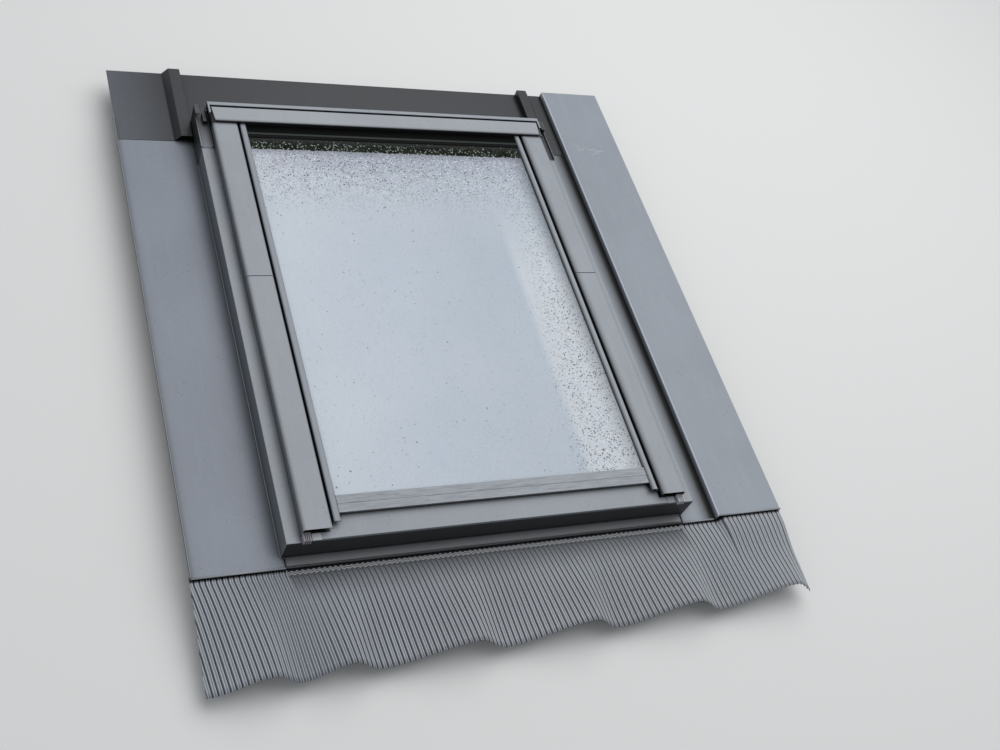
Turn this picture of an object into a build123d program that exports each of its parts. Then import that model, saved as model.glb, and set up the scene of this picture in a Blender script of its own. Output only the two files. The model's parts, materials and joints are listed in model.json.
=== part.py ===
from build123d import *
import math
import os

os.makedirs("parts", exist_ok=True)

# Centre-pivot roof window with its flashing, lying in the plane of the roof.
# X runs along the eaves, Y up the slope and Z out of the roof, all in millimetres.
# The origin is the middle of the frame's underside.

# Overall sizes
frame_width = 780.0
frame_height = 978.0
ledge_level = 100.0
sheet = 1.0
bend_radius = 1.4

# Timber frame
skirt_gap = 5.0
jamb_thickness = 41.0
cross_thickness = 45.0
groove_width = 10.0
groove_depth = 6.0
groove_level = 8.0
timber_arris = 3.0

# Timber sash
sash_gap = 4.0
stile_width = 48.0
rail_width = 42.0
sash_underside = 40.0
shoulder_level = 112.0
glazing_lip = 15.0
toe_relief = 7.0
toe_height = 40.0
sash_arris = 4.0

# Glazing unit
pane_thickness = 4.0
pane_cavity = 16.0
glass_level = 117.0
pane_edge_gap = 1.5
pane_low_gap = 4.0
pane_high_gap = 20.0
gasket_height = 3.0
gasket_width = 10.0
spacer_width = 9.0
spacer_inset = 2.0

# Frame cladding
ledge_width = 38.0
skirt_height = 46.0
ledge_lip = 5.0
skirt_return = 3.0

# Head casing corners
corner_length = 106.0
corner_width = 23.0
corner_lip = 4.0
corner_tab_width = 8.0
corner_tab_length = 24.0
corner_tab_height = 8.0
corner_stop_width = 7.0
corner_stop_length = 22.0
corner_stop_height = 9.0

# Covers over the sides
cover_inset = 25.0
cover_width = 50.0
cover_level = 124.0
cover_clearance = 3.0
cover_round = 6.0
cover_inner_round = 5.0
cover_inner_lip = 6.0
cover_foot = 10.0
cover_head_lap = 30.0
split_gap = 1.5
clip_length = 24.0
clip_sheet = 2.0
clip_end_gap = 60.0
clip_reach = 19.0

# Glazing beads and strips
bead_width = 13.0
bead_gap = 4.0
bead_height = 5.0
bead_round = 4.0
bead_foot = 22.0
strip_height = 3.0
strip_skirt = 5.0
bottom_strip_low = 38.0
bottom_strip_width = 32.0
top_strip_width = 31.0

# Cover of the sash's bottom rail, and what closes the side covers' lower ends
sill_cover_end = 8.0
sill_cover_level = 105.0
sill_cover_rise = 6.0
sill_cover_leg = 32.0
sill_cover_lip = 4.0
tab_gap = 0.5
tab_width = 17.0
tab_drop = 0.8
plug_width = 13.0
plug_height = 11.0
plug_length = 26.0
plug_reach = 14.0
plug_clearance = 1.2
plug_ribs = 4
plug_rib_depth = 3.0

# Hood over the head
hood_level = 129.0
hood_back_gap = 20.0
hood_width = 38.0
hood_end_gap = 27.0
hood_slant = 4.0
hood_lip = 4.0
rim_width = 9.0
rim_gap = 4.0
rim_end_gap = 21.5
rim_return = 30.0
rim_return_width = 3.5

# Flashings
flashing_level = 51.0
upstand_height = 43.0
upstand_clearance = 0.5
flashing_foot = 20.0
left_reach = 148.0
left_fold = 9.0
right_gutter = 67.0
right_reach = 215.0
fold_run = 1.5
fold_height = 14.0
edge_turn_down = 4.0
head_reach = 151.0
seam_drop = 42.0
side_lap = 60.0
shelf_reach = 25.0
shelf_slope = 12.0
shelf_height = 15.0
shelf_gap = 0.8
flashing_gap = 0.6
front_hem_radius = 2.0

# Pleated apron
apron_length_left = 187.0
apron_length_right = 167.0
crest_pull_left = 6.0
crest_pull_right = 14.0
apron_sheet = 1.0
apron_tuck = 6.0
apron_left_flare = 2.0
apron_right_flare = 13.0
apron_clearance = 0.3
pleat_depth = 4.0
pleat_pitch_middle = 9.4
pleat_pitch_left = 9.6
pleat_pitch_right = 10.6
apron_bands = 3
edge_step = 12.0
crimp_length = 4.6
crimp_rows = 2
crimp_shift = 2.4
wave_pitch = 222.0
wave_fall = 52.0
wave_crest = 136.0
left_lap_crest = -437.0
left_lap_trough = -387.0
crest_level = 56.0
trough_level = 29.0

# Pivot hinge, an arc rib on the sash running in an arc track on the frame
axis_above_middle = 42.0
axis_level = 124.5
arc_radius = 74.0
rib_width = 10.0
rib_height = 5.8
rib_start_angle = 188.0
rib_end_angle = 352.0
arm_sheet = 1.5
arm_radius = 82.0
arm_window = 46.0
hinge_top_gap = 5.5
track_clearance = 0.3
track_floor = 1.7
track_edge = 88.0
track_start_angle = 180.0
track_end_angle = 356.0

# Handle, pinion and the two racks that it drives apart
gear_teeth = 10
gear_pitch = 4.0
gear_addendum = 1.0
gear_dedendum = 1.4
gear_backlash = 0.15
gear_thickness = 7.0
rack_flank = 0.36
rack_teeth = 5
rack_back = 4.0
rod_radius = 4.0
rod_play = 0.08
rod_drop = 9.0
rod_inset = 17.5
rod_tip_inset = 1.0
case_half = 40.0
case_wall = 2.2
case_end = 5.0
case_floor = 3.5
case_height = 18.0
case_width = 29.0
case_corner = 4.0
keep_width = 14.0
keep_wall = 4.0
keep_places = (110.0, 270.0)
bush_radius = 7.0
bush_length = 20.0
handle_neck_length = 7.0
spindle_radius = 5.0
lever_length = 116.0
lever_width = 18.0
lever_thickness = 7.0

# Seals
seal_clearance = 0.3
seal_sill_reach = 0.6
seal_height = 6.0
seal_level = 66.0
seal_hinge_gap = 6.0
hood_seal_width = 3.0

# Fixing brackets and screws
bracket_sheet = 2.5
bracket_width = 60.0
bracket_reach = 56.0
bracket_level = 40.0
bracket_leg = 34.0
bracket_y = 330.0
bracket_hole = 3.3
bracket_hole_reach = 32.0
screw_radius = 2.0
screw_head_radius = 4.0
screw_head_height = 1.6
screw_length = 22.0
screw_spread = 36.0
screw_play = 0.1

# Edges and levels worked out from the sizes above
x_edge = frame_width / 2
y_edge = frame_height / 2
timber_x = x_edge - sheet - skirt_gap
timber_y = y_edge - sheet - skirt_gap
timber_top = ledge_level - sheet
inner_x = timber_x - jamb_thickness
inner_y = timber_y - cross_thickness
sash_x = inner_x - sash_gap
sash_y = inner_y - sash_gap
opening_x = sash_x - stile_width
opening_y = sash_y - rail_width
pane_underside = glass_level - 2 * pane_thickness - pane_cavity
rebate_level = pane_underside - gasket_height
shoulder_x = opening_x + glazing_lip
pane_x = shoulder_x - pane_edge_gap
pane_low = pane_low_gap - sash_y
pane_high = sash_y - pane_high_gap
shoulder_y = pane_high + pane_edge_gap
ledge_inner_x = x_edge - ledge_width
ledge_inner_y = y_edge - ledge_width
skirt_foot = ledge_level - skirt_height
cover_outer = x_edge - cover_inset
cover_inner = cover_outer - cover_width
cover_underside = cover_level - sheet
cover_low = cover_foot - y_edge
bead_outer = cover_inner - bead_gap
bead_inner = bead_outer - bead_width
bead_top = glass_level + bead_height
strip_top = glass_level + strip_height
axis_y = axis_above_middle
hood_y1 = y_edge - hood_back_gap
hood_y0 = hood_y1 - hood_width
hood_half = x_edge - hood_end_gap
hood_underside = hood_level - sheet
rim_y0 = hood_y1 + rim_gap
rim_y1 = rim_y0 + rim_width
rim_half = x_edge - rim_end_gap
corner_y = y_edge - corner_length
corner_inner = x_edge - corner_width
sill_cover_half = sash_x - sill_cover_end
upstand_x = timber_x + upstand_clearance + sheet
upstand_y = timber_y + upstand_clearance + sheet
upstand_top = flashing_level + upstand_height
flashing_y = -y_edge - flashing_foot
flashing_head = y_edge + head_reach
seam_y = y_edge - seam_drop
left_edge = x_edge + left_reach
right_edge = x_edge + right_reach
right_fold = x_edge + right_gutter
shelf_inner = x_edge + shelf_reach
shelf_outer = shelf_inner + shelf_slope
notch_x = upstand_x + bend_radius
hinge_top = axis_level - hinge_top_gap
hinge_low = axis_level - arc_radius - rib_width / 2 - track_clearance - track_floor
rib_tip = sash_x + arm_sheet + rib_height
groove_floor = rib_tip + track_clearance
track_back = groove_floor + track_floor
gear_radius = gear_teeth * gear_pitch / (2 * math.pi)
rod_travel = math.pi * gear_radius / 2
rod_level = sash_underside - rod_drop
spindle_y = -(opening_y + rod_inset)
rod_offset = gear_radius + gear_dedendum + rack_back - rod_radius
case_underside = sash_underside - case_height
neck_low = case_underside - handle_neck_length


def polygon(*points):
    return make_face(Polyline(*points, close=True))


def bent_line(points, radii):
    """Edges along points, with a bend of its own radius at each inner point."""
    edges = []
    start = Vector(*points[0])
    for before, corner, after, radius in zip(points, points[1:], points[2:], radii):
        corner = Vector(*corner)
        into = (corner - Vector(*before)).normalized()
        out = (Vector(*after) - corner).normalized()
        half_turn = math.radians(into.get_angle(out)) / 2
        first = corner - into * radius * math.tan(half_turn)
        last = corner + out * radius * math.tan(half_turn)
        middle = corner + (out - into).normalized() * radius * (1 / math.cos(half_turn) - 1)
        edges += [Line(start, first), ThreePointArc(first, middle, last)]
        start = last
    return edges + [Line(start, Vector(*points[-1]))]


def folded(*points, thickness=sheet, radii=None, on_left=False):
    """Outline of a folded sheet that lies on the right of its line of points, or on the left."""
    radii = radii or [bend_radius] * (len(points) - 2)
    line = [Vector(*point) for point in points]
    side = -1 if on_left else 1
    headings = [(after - before).normalized() for before, after in zip(line, line[1:])]
    normals = [Vector(side * heading.Y, -side * heading.X) for heading in headings]
    far = [line[0] + normals[0] * thickness]
    near_radii = []
    far_radii = []
    for index, radius in enumerate(radii):
        before = normals[index]
        after = normals[index + 1]
        far.append(line[index + 1] + (before + after) * (thickness / (1 + before.dot(after))))
        bends_to_sheet = headings[index + 1].dot(before) > 0
        near_radii.append(radius if bends_to_sheet else radius - thickness)
        far_radii.append(radius - thickness if bends_to_sheet else radius)
    far.append(line[-1] + normals[-1] * thickness)
    edges = bent_line([tuple(point)[:2] for point in line], near_radii)
    edges += bent_line([tuple(point)[:2] for point in far], far_radii)
    edges += [Line(line[0], far[0]), Line(line[-1], far[-1])]
    return make_face(edges)


def bar_along_y(outline, low, high):
    """A solid whose (x, z) outline runs up the slope from low to high."""
    plane = Plane(origin=(0, high, 0), x_dir=(1, 0, 0), z_dir=(0, -1, 0))
    return extrude(plane * outline, amount=high - low)


def bar_along_x(outline, low, high):
    """A solid whose (y, z) outline runs along the eaves from low to high."""
    plane = Plane(origin=(low, 0, 0), x_dir=(0, 1, 0), z_dir=(1, 0, 0))
    return extrude(plane * outline, amount=high - low)


def block(x0, x1, y0, y1, z0, z1):
    return Pos((x0 + x1) / 2, (y0 + y1) / 2, (z0 + z1) / 2) * Box(x1 - x0, y1 - y0, z1 - z0)


def rod_along_x(radius, low, high, y, z):
    return Pos((low + high) / 2, y, z) * Rot(0, 90, 0) * Cylinder(radius, high - low)


def mirrored(shape):
    return mirror(shape, about=Plane.YZ)


def write(name, shape):
    export_step(shape, os.path.join("parts", name + ".step"))


def write_pair(name, right_shape):
    write(name + "_right", right_shape)
    write(name + "_left", mirrored(right_shape))


# Timber frame

def bush_hole(y):
    return rod_along_x(bush_radius, inner_x, inner_x + bush_length, y, rod_level)


def bracket_screw_places():
    """Places along a jamb of the screws that hold its two brackets."""
    return [y + half for y in (-bracket_y, bracket_y) for half in (-screw_spread / 2, screw_spread / 2)]


def frame_jamb(bolt_y):
    """Right jamb, with its lining groove, hinge recess, bush hole and screw holes."""
    jamb = block(inner_x, timber_x, -timber_y, timber_y, 0, timber_top)
    low_edges = jamb.edges().filter_by(Axis.Y).group_by(Axis.Z)[0]
    jamb = chamfer(low_edges.sort_by(Axis.X)[0], timber_arris)
    jamb -= block(inner_x, inner_x + groove_depth, -inner_y, inner_y,
                  groove_level, groove_level + groove_width)
    jamb -= block(inner_x, track_back, axis_y - track_edge, axis_y + track_edge, hinge_low, timber_top)
    jamb -= bush_hole(bolt_y)
    for y in bracket_screw_places():
        jamb -= rod_along_x(screw_radius, timber_x - screw_length, timber_x,
                            y, bracket_level - bracket_leg / 2)
    return jamb


def frame_cross_member(inner, outer):
    """Head or sill between the jambs, with its lining groove on the inner face."""
    low, high = sorted((inner, outer))
    member = block(-inner_x, inner_x, low, high, 0, timber_top)
    low_edges = member.edges().filter_by(Axis.X).group_by(Axis.Z)[0].sort_by(Axis.Y)
    member = chamfer(low_edges[0] if inner < outer else low_edges[-1], timber_arris)
    groove_end = inner + math.copysign(groove_depth, inner)
    low, high = sorted((inner, groove_end))
    return member - block(-inner_x, inner_x, low, high, groove_level, groove_level + groove_width)


# Timber sash

def toe_cut():
    """Wedge off the sash's foot, which would meet the sill as the sash swings."""
    outline = polygon((-sash_y, sash_underside), (-sash_y + toe_relief, sash_underside),
                      (-sash_y, sash_underside + toe_height))
    return bar_along_x(outline, -sash_x, sash_x)


def sash_stile():
    """Right stile with the step that the glazing unit lies on."""
    outline = polygon((opening_x, sash_underside), (sash_x, sash_underside), (sash_x, shoulder_level),
                      (shoulder_x, shoulder_level), (shoulder_x, rebate_level), (opening_x, rebate_level))
    stile = bar_along_y(outline, -sash_y, sash_y)
    low_edges = stile.edges().filter_by(Axis.Y).group_by(Axis.Z)[0]
    stile = fillet(low_edges.sort_by(Axis.X)[0], sash_arris)
    stile += block(opening_x, shoulder_x, shoulder_y, sash_y, rebate_level, shoulder_level)
    return stile - toe_cut()


def sash_bottom_rail():
    rail = block(-opening_x, opening_x, -sash_y, -opening_y, sash_underside, rebate_level)
    low_edges = rail.edges().filter_by(Axis.X).group_by(Axis.Z)[0]
    rail = fillet(low_edges.sort_by(Axis.Y)[-1], sash_arris)
    return rail - toe_cut()


def sash_top_rail():
    outline = polygon((opening_y, sash_underside), (sash_y, sash_underside), (sash_y, shoulder_level),
                      (shoulder_y, shoulder_level), (shoulder_y, rebate_level), (opening_y, rebate_level))
    rail = bar_along_x(outline, -opening_x, opening_x)
    low_edges = rail.edges().filter_by(Axis.X).group_by(Axis.Z)[0]
    return fillet(low_edges.sort_by(Axis.Y)[0], sash_arris)


# Glazing unit

def pane(low_level):
    return block(-pane_x, pane_x, pane_low, pane_high, low_level, low_level + pane_thickness)


def ring(inset, width, low_level, height):
    """A rectangular ring set in from the edge of the panes."""
    high_level = low_level + height
    outer = block(-pane_x + inset, pane_x - inset, pane_low + inset, pane_high - inset,
                  low_level, high_level)
    reach = inset + width
    return outer - block(-pane_x + reach, pane_x - reach, pane_low + reach, pane_high - reach,
                         low_level, high_level)


# Beads and strips that hold the glazing

def glazing_bead():
    """Right bead, rounded over the pane's edge and down onto the stile."""
    outline = folded((bead_inner, glass_level), (bead_inner, bead_top), (bead_outer, bead_top),
                     (bead_outer, shoulder_level), radii=[bead_round, bead_round])
    return bar_along_y(outline, bead_foot - y_edge, sash_y)


def bottom_strip():
    """Strip over the pane's lower edge, with a faint step and a drip lip at the front."""
    low = bottom_strip_low - y_edge
    high = low + bottom_strip_width
    step = (low + high) / 2
    outline = polygon((low, strip_top - strip_skirt), (low, strip_top - sheet / 2),
                      (step, strip_top - sheet / 2), (step, strip_top), (high, strip_top),
                      (high, glass_level), (pane_low, glass_level), (pane_low, strip_top - 2 * sheet),
                      (low + sheet, strip_top - 2 * sheet), (low + sheet, strip_top - strip_skirt))
    return bar_along_x(outline, -bead_inner, bead_inner)


def top_strip():
    """Strip over the pane's upper edge, down onto the top rail."""
    high = hood_y0 - sheet
    low = high - top_strip_width
    outline = polygon((low, glass_level), (low, strip_top - sheet), (low + sheet, strip_top),
                      (high, strip_top), (high, shoulder_level), (high - sheet, shoulder_level),
                      (high - sheet, glass_level))
    return bar_along_x(outline, -bead_inner, bead_inner)


# Cladding of the sash's foot

def sill_cover_outline(drop):
    """Leg on the rail's face, slope out over the frame's sill, and a lip at the front."""
    leg_top = sill_cover_level + sill_cover_rise
    front = -y_edge - drop
    return folded((-sash_y, leg_top - sill_cover_leg), (-sash_y, leg_top), (front, sill_cover_level),
                  (front, sill_cover_level - sill_cover_lip), on_left=True)


def sash_sill_cover():
    return bar_along_x(sill_cover_outline(0), -sill_cover_half, sill_cover_half)


def cover_tab():
    """Light metal tab at the end of the sill cover, folded over the front edge."""
    tab = bar_along_x(sill_cover_outline(tab_drop), sill_cover_half + tab_gap, sill_cover_half + tab_width)
    return tab - block(sash_x, x_edge, -inner_y, -sash_y, sash_underside, ledge_level + cover_clearance)


def cover_plug():
    """Ribbed plug in the lower end of the right side cover."""
    outer = cover_outer - sheet
    low = cover_low - plug_reach
    floor = ledge_level + plug_clearance
    plug = block(outer - plug_width, outer, low, low + plug_length, floor, floor + plug_height)
    pitch = plug_width / plug_ribs
    top = floor + plug_height
    for rib in range(plug_ribs - 1):
        x = outer - plug_width + pitch * (rib + 1)
        plug -= block(x - pitch / 4, x + pitch / 4, low, cover_low, top - plug_rib_depth, top)
        plug -= block(x - pitch / 4, x + pitch / 4, low, low + plug_rib_depth, floor, top)
    return plug


# Covers over the sides

def cover_outline():
    """Right side cover: short inner lip, flat top between rounded shoulders, and outer wall."""
    return folded((cover_inner, cover_level - cover_inner_lip), (cover_inner, cover_level),
                  (cover_outer, cover_level), (cover_outer, ledge_level + cover_clearance),
                  radii=[cover_inner_round, cover_round])


def lower_cover():
    return bar_along_y(cover_outline(), cover_low, axis_y - split_gap / 2)


def upper_cover():
    return bar_along_y(cover_outline(), axis_y + split_gap / 2, hood_y0 + cover_head_lap)


def clips(outline, low, high):
    """Three clips spread along a cover, on each side of the window."""
    group = []
    for place in (low, (low + high) / 2, high):
        clip = bar_along_y(outline, place - clip_length / 2, place + clip_length / 2)
        group += [clip, mirrored(clip)]
    return Compound(children=group)


def upper_clips():
    """Clips that stand on the jambs and reach inwards under the upper covers."""
    leg = ledge_inner_x - sheet
    foot = inner_x + sheet
    outline = polygon((foot, timber_top), (leg, timber_top), (leg, cover_underside),
                      (leg - clip_reach, cover_underside), (leg - clip_reach, cover_underside - clip_sheet),
                      (leg - clip_sheet, cover_underside - clip_sheet), (leg - clip_sheet, timber_top + clip_sheet),
                      (foot, timber_top + clip_sheet))
    return clips(outline, axis_y + track_edge + clip_length, hood_y0 - clip_end_gap)


def lower_clips():
    """Clips that stand on the stiles and reach outwards under the lower covers."""
    foot = sash_x - sheet
    leg = foot - clip_reach + clip_sheet
    tip = cover_outer - cover_round
    outline = polygon((foot, shoulder_level), (leg, shoulder_level), (leg, cover_underside),
                      (tip, cover_underside), (tip, cover_underside - clip_sheet),
                      (leg + clip_sheet, cover_underside - clip_sheet),
                      (leg + clip_sheet, shoulder_level + clip_sheet), (foot, shoulder_level + clip_sheet))
    return clips(outline, cover_low + clip_end_gap, axis_y - track_edge - clip_length)


# Frame cladding

def cladding_outline(edge, inner):
    """Lip, ledge, skirt and its return, the lip at inner and the skirt at edge."""
    return folded((inner, ledge_level + ledge_lip), (inner, ledge_level), (edge, ledge_level),
                  (edge, skirt_foot), (edge - math.copysign(skirt_return, edge), skirt_foot),
                  on_left=edge < 0)


def side_cladding():
    """Right side of the frame cladding, mitred at the lower corner."""
    side = bar_along_y(cladding_outline(x_edge, ledge_inner_x), -y_edge, inner_y)
    corner = Plane(origin=(x_edge, -y_edge, 0), z_dir=(1, 1, 0))
    return split(side, bisect_by=corner, keep=Keep.TOP)


def sill_cladding():
    """Front of the frame cladding, mitred at both ends."""
    front = bar_along_x(cladding_outline(-y_edge, -ledge_inner_y), -x_edge, x_edge)
    for sign in (-1, 1):
        corner = Plane(origin=(sign * x_edge, -y_edge, 0), z_dir=(-sign, -1, 0))
        front = split(front, bisect_by=corner, keep=Keep.TOP)
    return front


def head_cladding():
    """Cladding over the frame's head, its lip left out under the side covers."""
    lip_y = inner_y + 2 * sheet
    half = x_edge - sheet
    outline = folded((lip_y, ledge_level + ledge_lip), (lip_y, ledge_level), (y_edge, ledge_level),
                     (y_edge, skirt_foot))
    cladding = bar_along_x(outline, -half, half)
    for low, high in ((-half, -cover_inner), (cover_inner, half)):
        cladding -= block(low, high, lip_y - sheet, lip_y + bend_radius, ledge_level, ledge_level + ledge_lip)
    return cladding


def head_corner():
    """Right upper corner of the cladding: channel, skirt, folded tab and cover stop."""
    floor = ledge_level + sheet
    lip_top = floor + corner_lip
    outer = x_edge + sheet
    outline = polygon((corner_inner, lip_top), (corner_inner, ledge_level), (x_edge, ledge_level),
                      (x_edge, skirt_foot), (outer, skirt_foot), (outer, lip_top),
                      (outer - 2 * sheet, lip_top), (outer - 2 * sheet, floor),
                      (corner_inner + sheet, floor), (corner_inner + sheet, lip_top))
    corner = bar_along_y(outline, corner_y, y_edge)
    tab_top = lip_top + corner_tab_height
    tab_low = y_edge - corner_tab_length
    corner += block(outer - sheet, outer, tab_low, y_edge, lip_top, tab_top)
    corner += block(outer - corner_tab_width, outer, tab_low, y_edge, tab_top - sheet, tab_top)
    stop = corner_inner + corner_lip
    corner += block(stop, stop + corner_stop_width, hood_y1 - corner_stop_length, hood_y1,
                    floor, floor + corner_stop_height)
    return corner


# Hood over the head

def hood_plan(inset):
    """Outline of the hood from above, narrower at the front, drawn in by inset all round."""
    front = hood_half - hood_slant - inset
    back = hood_half - inset
    low = hood_y0 + inset
    high = hood_y1 - inset
    return polygon((-front, low), (front, low), (back, high), (-back, high))


def hood():
    """Pressed hood: top, front and end lips, and a back that stands on the head cladding."""
    shell = extrude(Pos(0, 0, ledge_level) * hood_plan(0), amount=hood_level - ledge_level)
    top_edges = shell.edges().group_by(Axis.Z)[-1]
    shell = fillet(top_edges, bend_radius)
    shell -= extrude(Pos(0, 0, ledge_level) * hood_plan(sheet), amount=hood_underside - ledge_level)
    return shell - block(-hood_half, hood_half, hood_y0, hood_y1 - sheet, ledge_level, hood_level - hood_lip)


def hood_rim():
    """Folded rim behind the hood, returned along its two ends."""
    top = hood_level + sheet
    outline = folded((rim_y0, hood_level - hood_lip), (rim_y0, top), (rim_y1, top), (rim_y1, ledge_level))
    rim = bar_along_x(outline, -rim_half, rim_half)
    for sign in (-1, 1):
        low, high = sorted((sign * (rim_half - rim_return_width), sign * rim_half))
        rim += block(low, high, rim_y1 - rim_return, rim_y1 - sheet, hood_level - hood_lip, top)
        low, high = sorted((sign * (corner_inner - sheet), sign * rim_half))
        rim -= block(low, high, rim_y0, rim_y1, ledge_level, ledge_level + corner_tab_height)
    return rim


def hood_seal():
    """Rubber lip under the hood's front, standing over the sash's top rail."""
    return block(-bead_inner, bead_inner, hood_y0 + sheet, hood_y0 + sheet + hood_seal_width,
                 shoulder_level + seal_clearance, hood_underside)


# Flashings

def side_flashing(outline, head):
    """Flashing beside the frame; its upstand ends at the frame's head and sill."""
    flashing = bar_along_y(outline, flashing_y, head)
    for low, high in ((flashing_y, -upstand_y), (upstand_y, head)):
        flashing -= block(-notch_x, notch_x, low, high, flashing_level, upstand_top)
    return flashing


def side_flashing_right():
    """Upstand, gutter, fold and raised panel of the right flashing."""
    panel = flashing_level + fold_height
    outline = folded((upstand_x, upstand_top), (upstand_x, flashing_level), (right_fold, flashing_level),
                     (right_fold + fold_run, panel), (right_edge, panel),
                     (right_edge, panel - edge_turn_down))
    return side_flashing(outline, flashing_head)


def side_flashing_left():
    """Upstand and flat panel of the left flashing, turned up at its outer edge."""
    outline = folded((-upstand_x, upstand_top), (-upstand_x, flashing_level), (-left_edge, flashing_level),
                     (-left_edge, flashing_level + left_fold), on_left=True)
    return side_flashing(outline, seam_y + side_lap)


def sill_flashing():
    """Flashing below the sill: upstand, short floor and a rolled front hem."""
    half = upstand_x - sheet - flashing_gap
    front = flashing_y + front_hem_radius
    outline = folded((-upstand_y, upstand_top), (-upstand_y, flashing_level), (front, flashing_level),
                     on_left=True)
    floor = bar_along_x(outline, -half, half)
    return floor + rod_along_x(front_hem_radius, -half, half, front, flashing_level)


def head_shelf():
    """Raised rib of the head flashing beside the frame's right upper corner."""
    floor = flashing_level + sheet
    top = floor + shelf_height
    inner = x_edge + sheet + shelf_gap
    outline = folded((inner, floor), (inner, top), (shelf_inner, top), (shelf_outer, floor),
                     (shelf_outer + shelf_height, floor))
    return bar_along_y(outline, seam_y, flashing_head)


def head_flashing():
    """Sheet above the window, notched round the frame, with an upstand and two raised ribs."""
    floor = flashing_level + sheet
    rib_inner = x_edge + sheet + shelf_gap + sheet
    plate = block(-left_edge + sheet, right_fold - 2 * sheet, seam_y, flashing_head, flashing_level, floor)
    plate -= block(-notch_x, notch_x, seam_y, upstand_y, flashing_level, floor)
    for low, high in ((-shelf_outer, -rib_inner), (rib_inner, shelf_outer)):
        plate -= block(low, high, seam_y, flashing_head, flashing_level, floor)
    half = upstand_x - sheet - flashing_gap
    plate += block(-half, half, upstand_y - sheet, upstand_y, flashing_level, upstand_top)
    rib = head_shelf()
    return plate + rib + mirrored(rib)


# Pleated apron

def pleat_pitch(x):
    """Pleats are drawn out towards the two ends, most at the right."""
    if x < -x_edge:
        share = (-x_edge - x) / (left_edge - x_edge)
        return pleat_pitch_middle + (pleat_pitch_left - pleat_pitch_middle) * share
    share = min(max(x, 0) / right_edge, 1)
    return pleat_pitch_middle + (pleat_pitch_right - pleat_pitch_middle) * share


def pleat_places():
    """Fold lines from the left edge to the right, two to each pleat."""
    places = [-left_edge]
    while places[-1] < right_edge:
        places.append(places[-1] + pleat_pitch(places[-1]) / 2)
    stretch = (right_edge + left_edge) / (places[-1] + left_edge)
    return [(x + left_edge) * stretch - left_edge for x in places]


def ease(share):
    """Smooth step from 0 to 1."""
    share = min(max(share, 0.0), 1.0)
    return share * share * (3 - 2 * share)


def roof_wave(x):
    """Height of the lower edge as it follows the tiles: 1 on a crest, 0 in a trough."""
    if x < left_lap_crest:
        return ease((x + left_edge) / (left_lap_crest + left_edge))
    if x < left_lap_trough:
        return 1 - ease((x - left_lap_crest) / (left_lap_trough - left_lap_crest))
    crest = wave_crest + wave_pitch * math.floor((x - wave_crest) / wave_pitch)
    if x < crest + wave_fall:
        return 1 - ease((x - crest) / wave_fall)
    trough = max(crest + wave_fall, left_lap_trough)
    return ease((x - trough) / (crest + wave_pitch - trough))


def apron_top_level(x):
    """Mid level of the top edge, which lies under the flashings and steps up with the panel."""
    under = flashing_level - front_hem_radius - apron_clearance - pleat_depth / 2
    step = (x - right_fold - fold_run - 2 * sheet - pleat_depth / 2) / fold_height
    return under + fold_height * ease(step)


def apron_flare(x):
    """How far the lower edge is drawn sideways at x."""
    return apron_right_flare * max(x, 0) / right_edge + apron_left_flare * min(x, 0) / left_edge


def apron_reach(x):
    """How far down the slope the apron reaches at x; it draws back over the crests of the tiles."""
    along = (x + left_edge) / (right_edge + left_edge)
    reach = apron_length_left + (apron_length_right - apron_length_left) * along
    pull = crest_pull_left + (crest_pull_right - crest_pull_left) * along
    return reach - pull * roof_wave(x)


def apron_section(y, share, shift, folds):
    """Closed zigzag section of the apron at y; share says how far down the apron it lies."""
    upper = []
    for index, x in enumerate(folds):
        flare = apron_flare(x)
        low = trough_level + (crest_level - trough_level) * roof_wave(x + flare)
        level = apron_top_level(x) * (1 - ease(share)) + low * ease(share)
        level += pleat_depth / 2 if index % 2 else -pleat_depth / 2
        crimp = shift if abs(x) < x_edge - pleat_pitch_middle else 0
        upper.append((x + flare * share + crimp, y, level))
    lower = [(x, low_y, z - apron_sheet) for (x, low_y, z) in reversed(upper)]
    return Wire(Polyline(*upper, *lower, close=True).edges())


def beyond_lower_edge():
    """All that lies further down the slope than the apron's wavy lower edge."""
    start = -left_edge - wave_pitch / 4
    count = math.ceil((right_edge + wave_pitch / 4 - start) / edge_step)
    edge = [(start + edge_step * i, flashing_y - apron_reach(start + edge_step * i)) for i in range(count + 1)]
    foot = flashing_y - 2 * apron_length_left
    outline = polygon(*edge, (edge[-1][0], foot), (start, foot))
    return extrude(outline, amount=ledge_level)


def pleated_apron():
    """Pleats crimped to a herringbone under the sill, then running down over the tiles."""
    folds = pleat_places()
    sections = [apron_section(flashing_y + apron_tuck, 0, 0, folds)]
    for row in range(crimp_rows + 1):
        shift = crimp_shift if row % 2 else 0
        sections.append(apron_section(flashing_y - row * crimp_length, 0, shift, folds))
    start = flashing_y - crimp_rows * crimp_length
    length = apron_length_left - crimp_rows * crimp_length
    for band in range(apron_bands):
        share = (band + 1) / apron_bands
        sections.append(apron_section(start - length * share, share, 0, folds))
    return Solid.make_loft(sections, ruled=True) - beyond_lower_edge()


# Pivot hinge

def sector(inner, outer, start, end):
    """Outline in (y, z) between two radii and two angles about the hinge's axis."""
    inner_arc = CenterArc((axis_y, axis_level), inner, start, end - start)
    outer_arc = CenterArc((axis_y, axis_level), outer, start, end - start)
    ends = [Line(inner_arc @ 0, outer_arc @ 0), Line(inner_arc @ 1, outer_arc @ 1)]
    return make_face(Curve() + [inner_arc, outer_arc, *ends])


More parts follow.
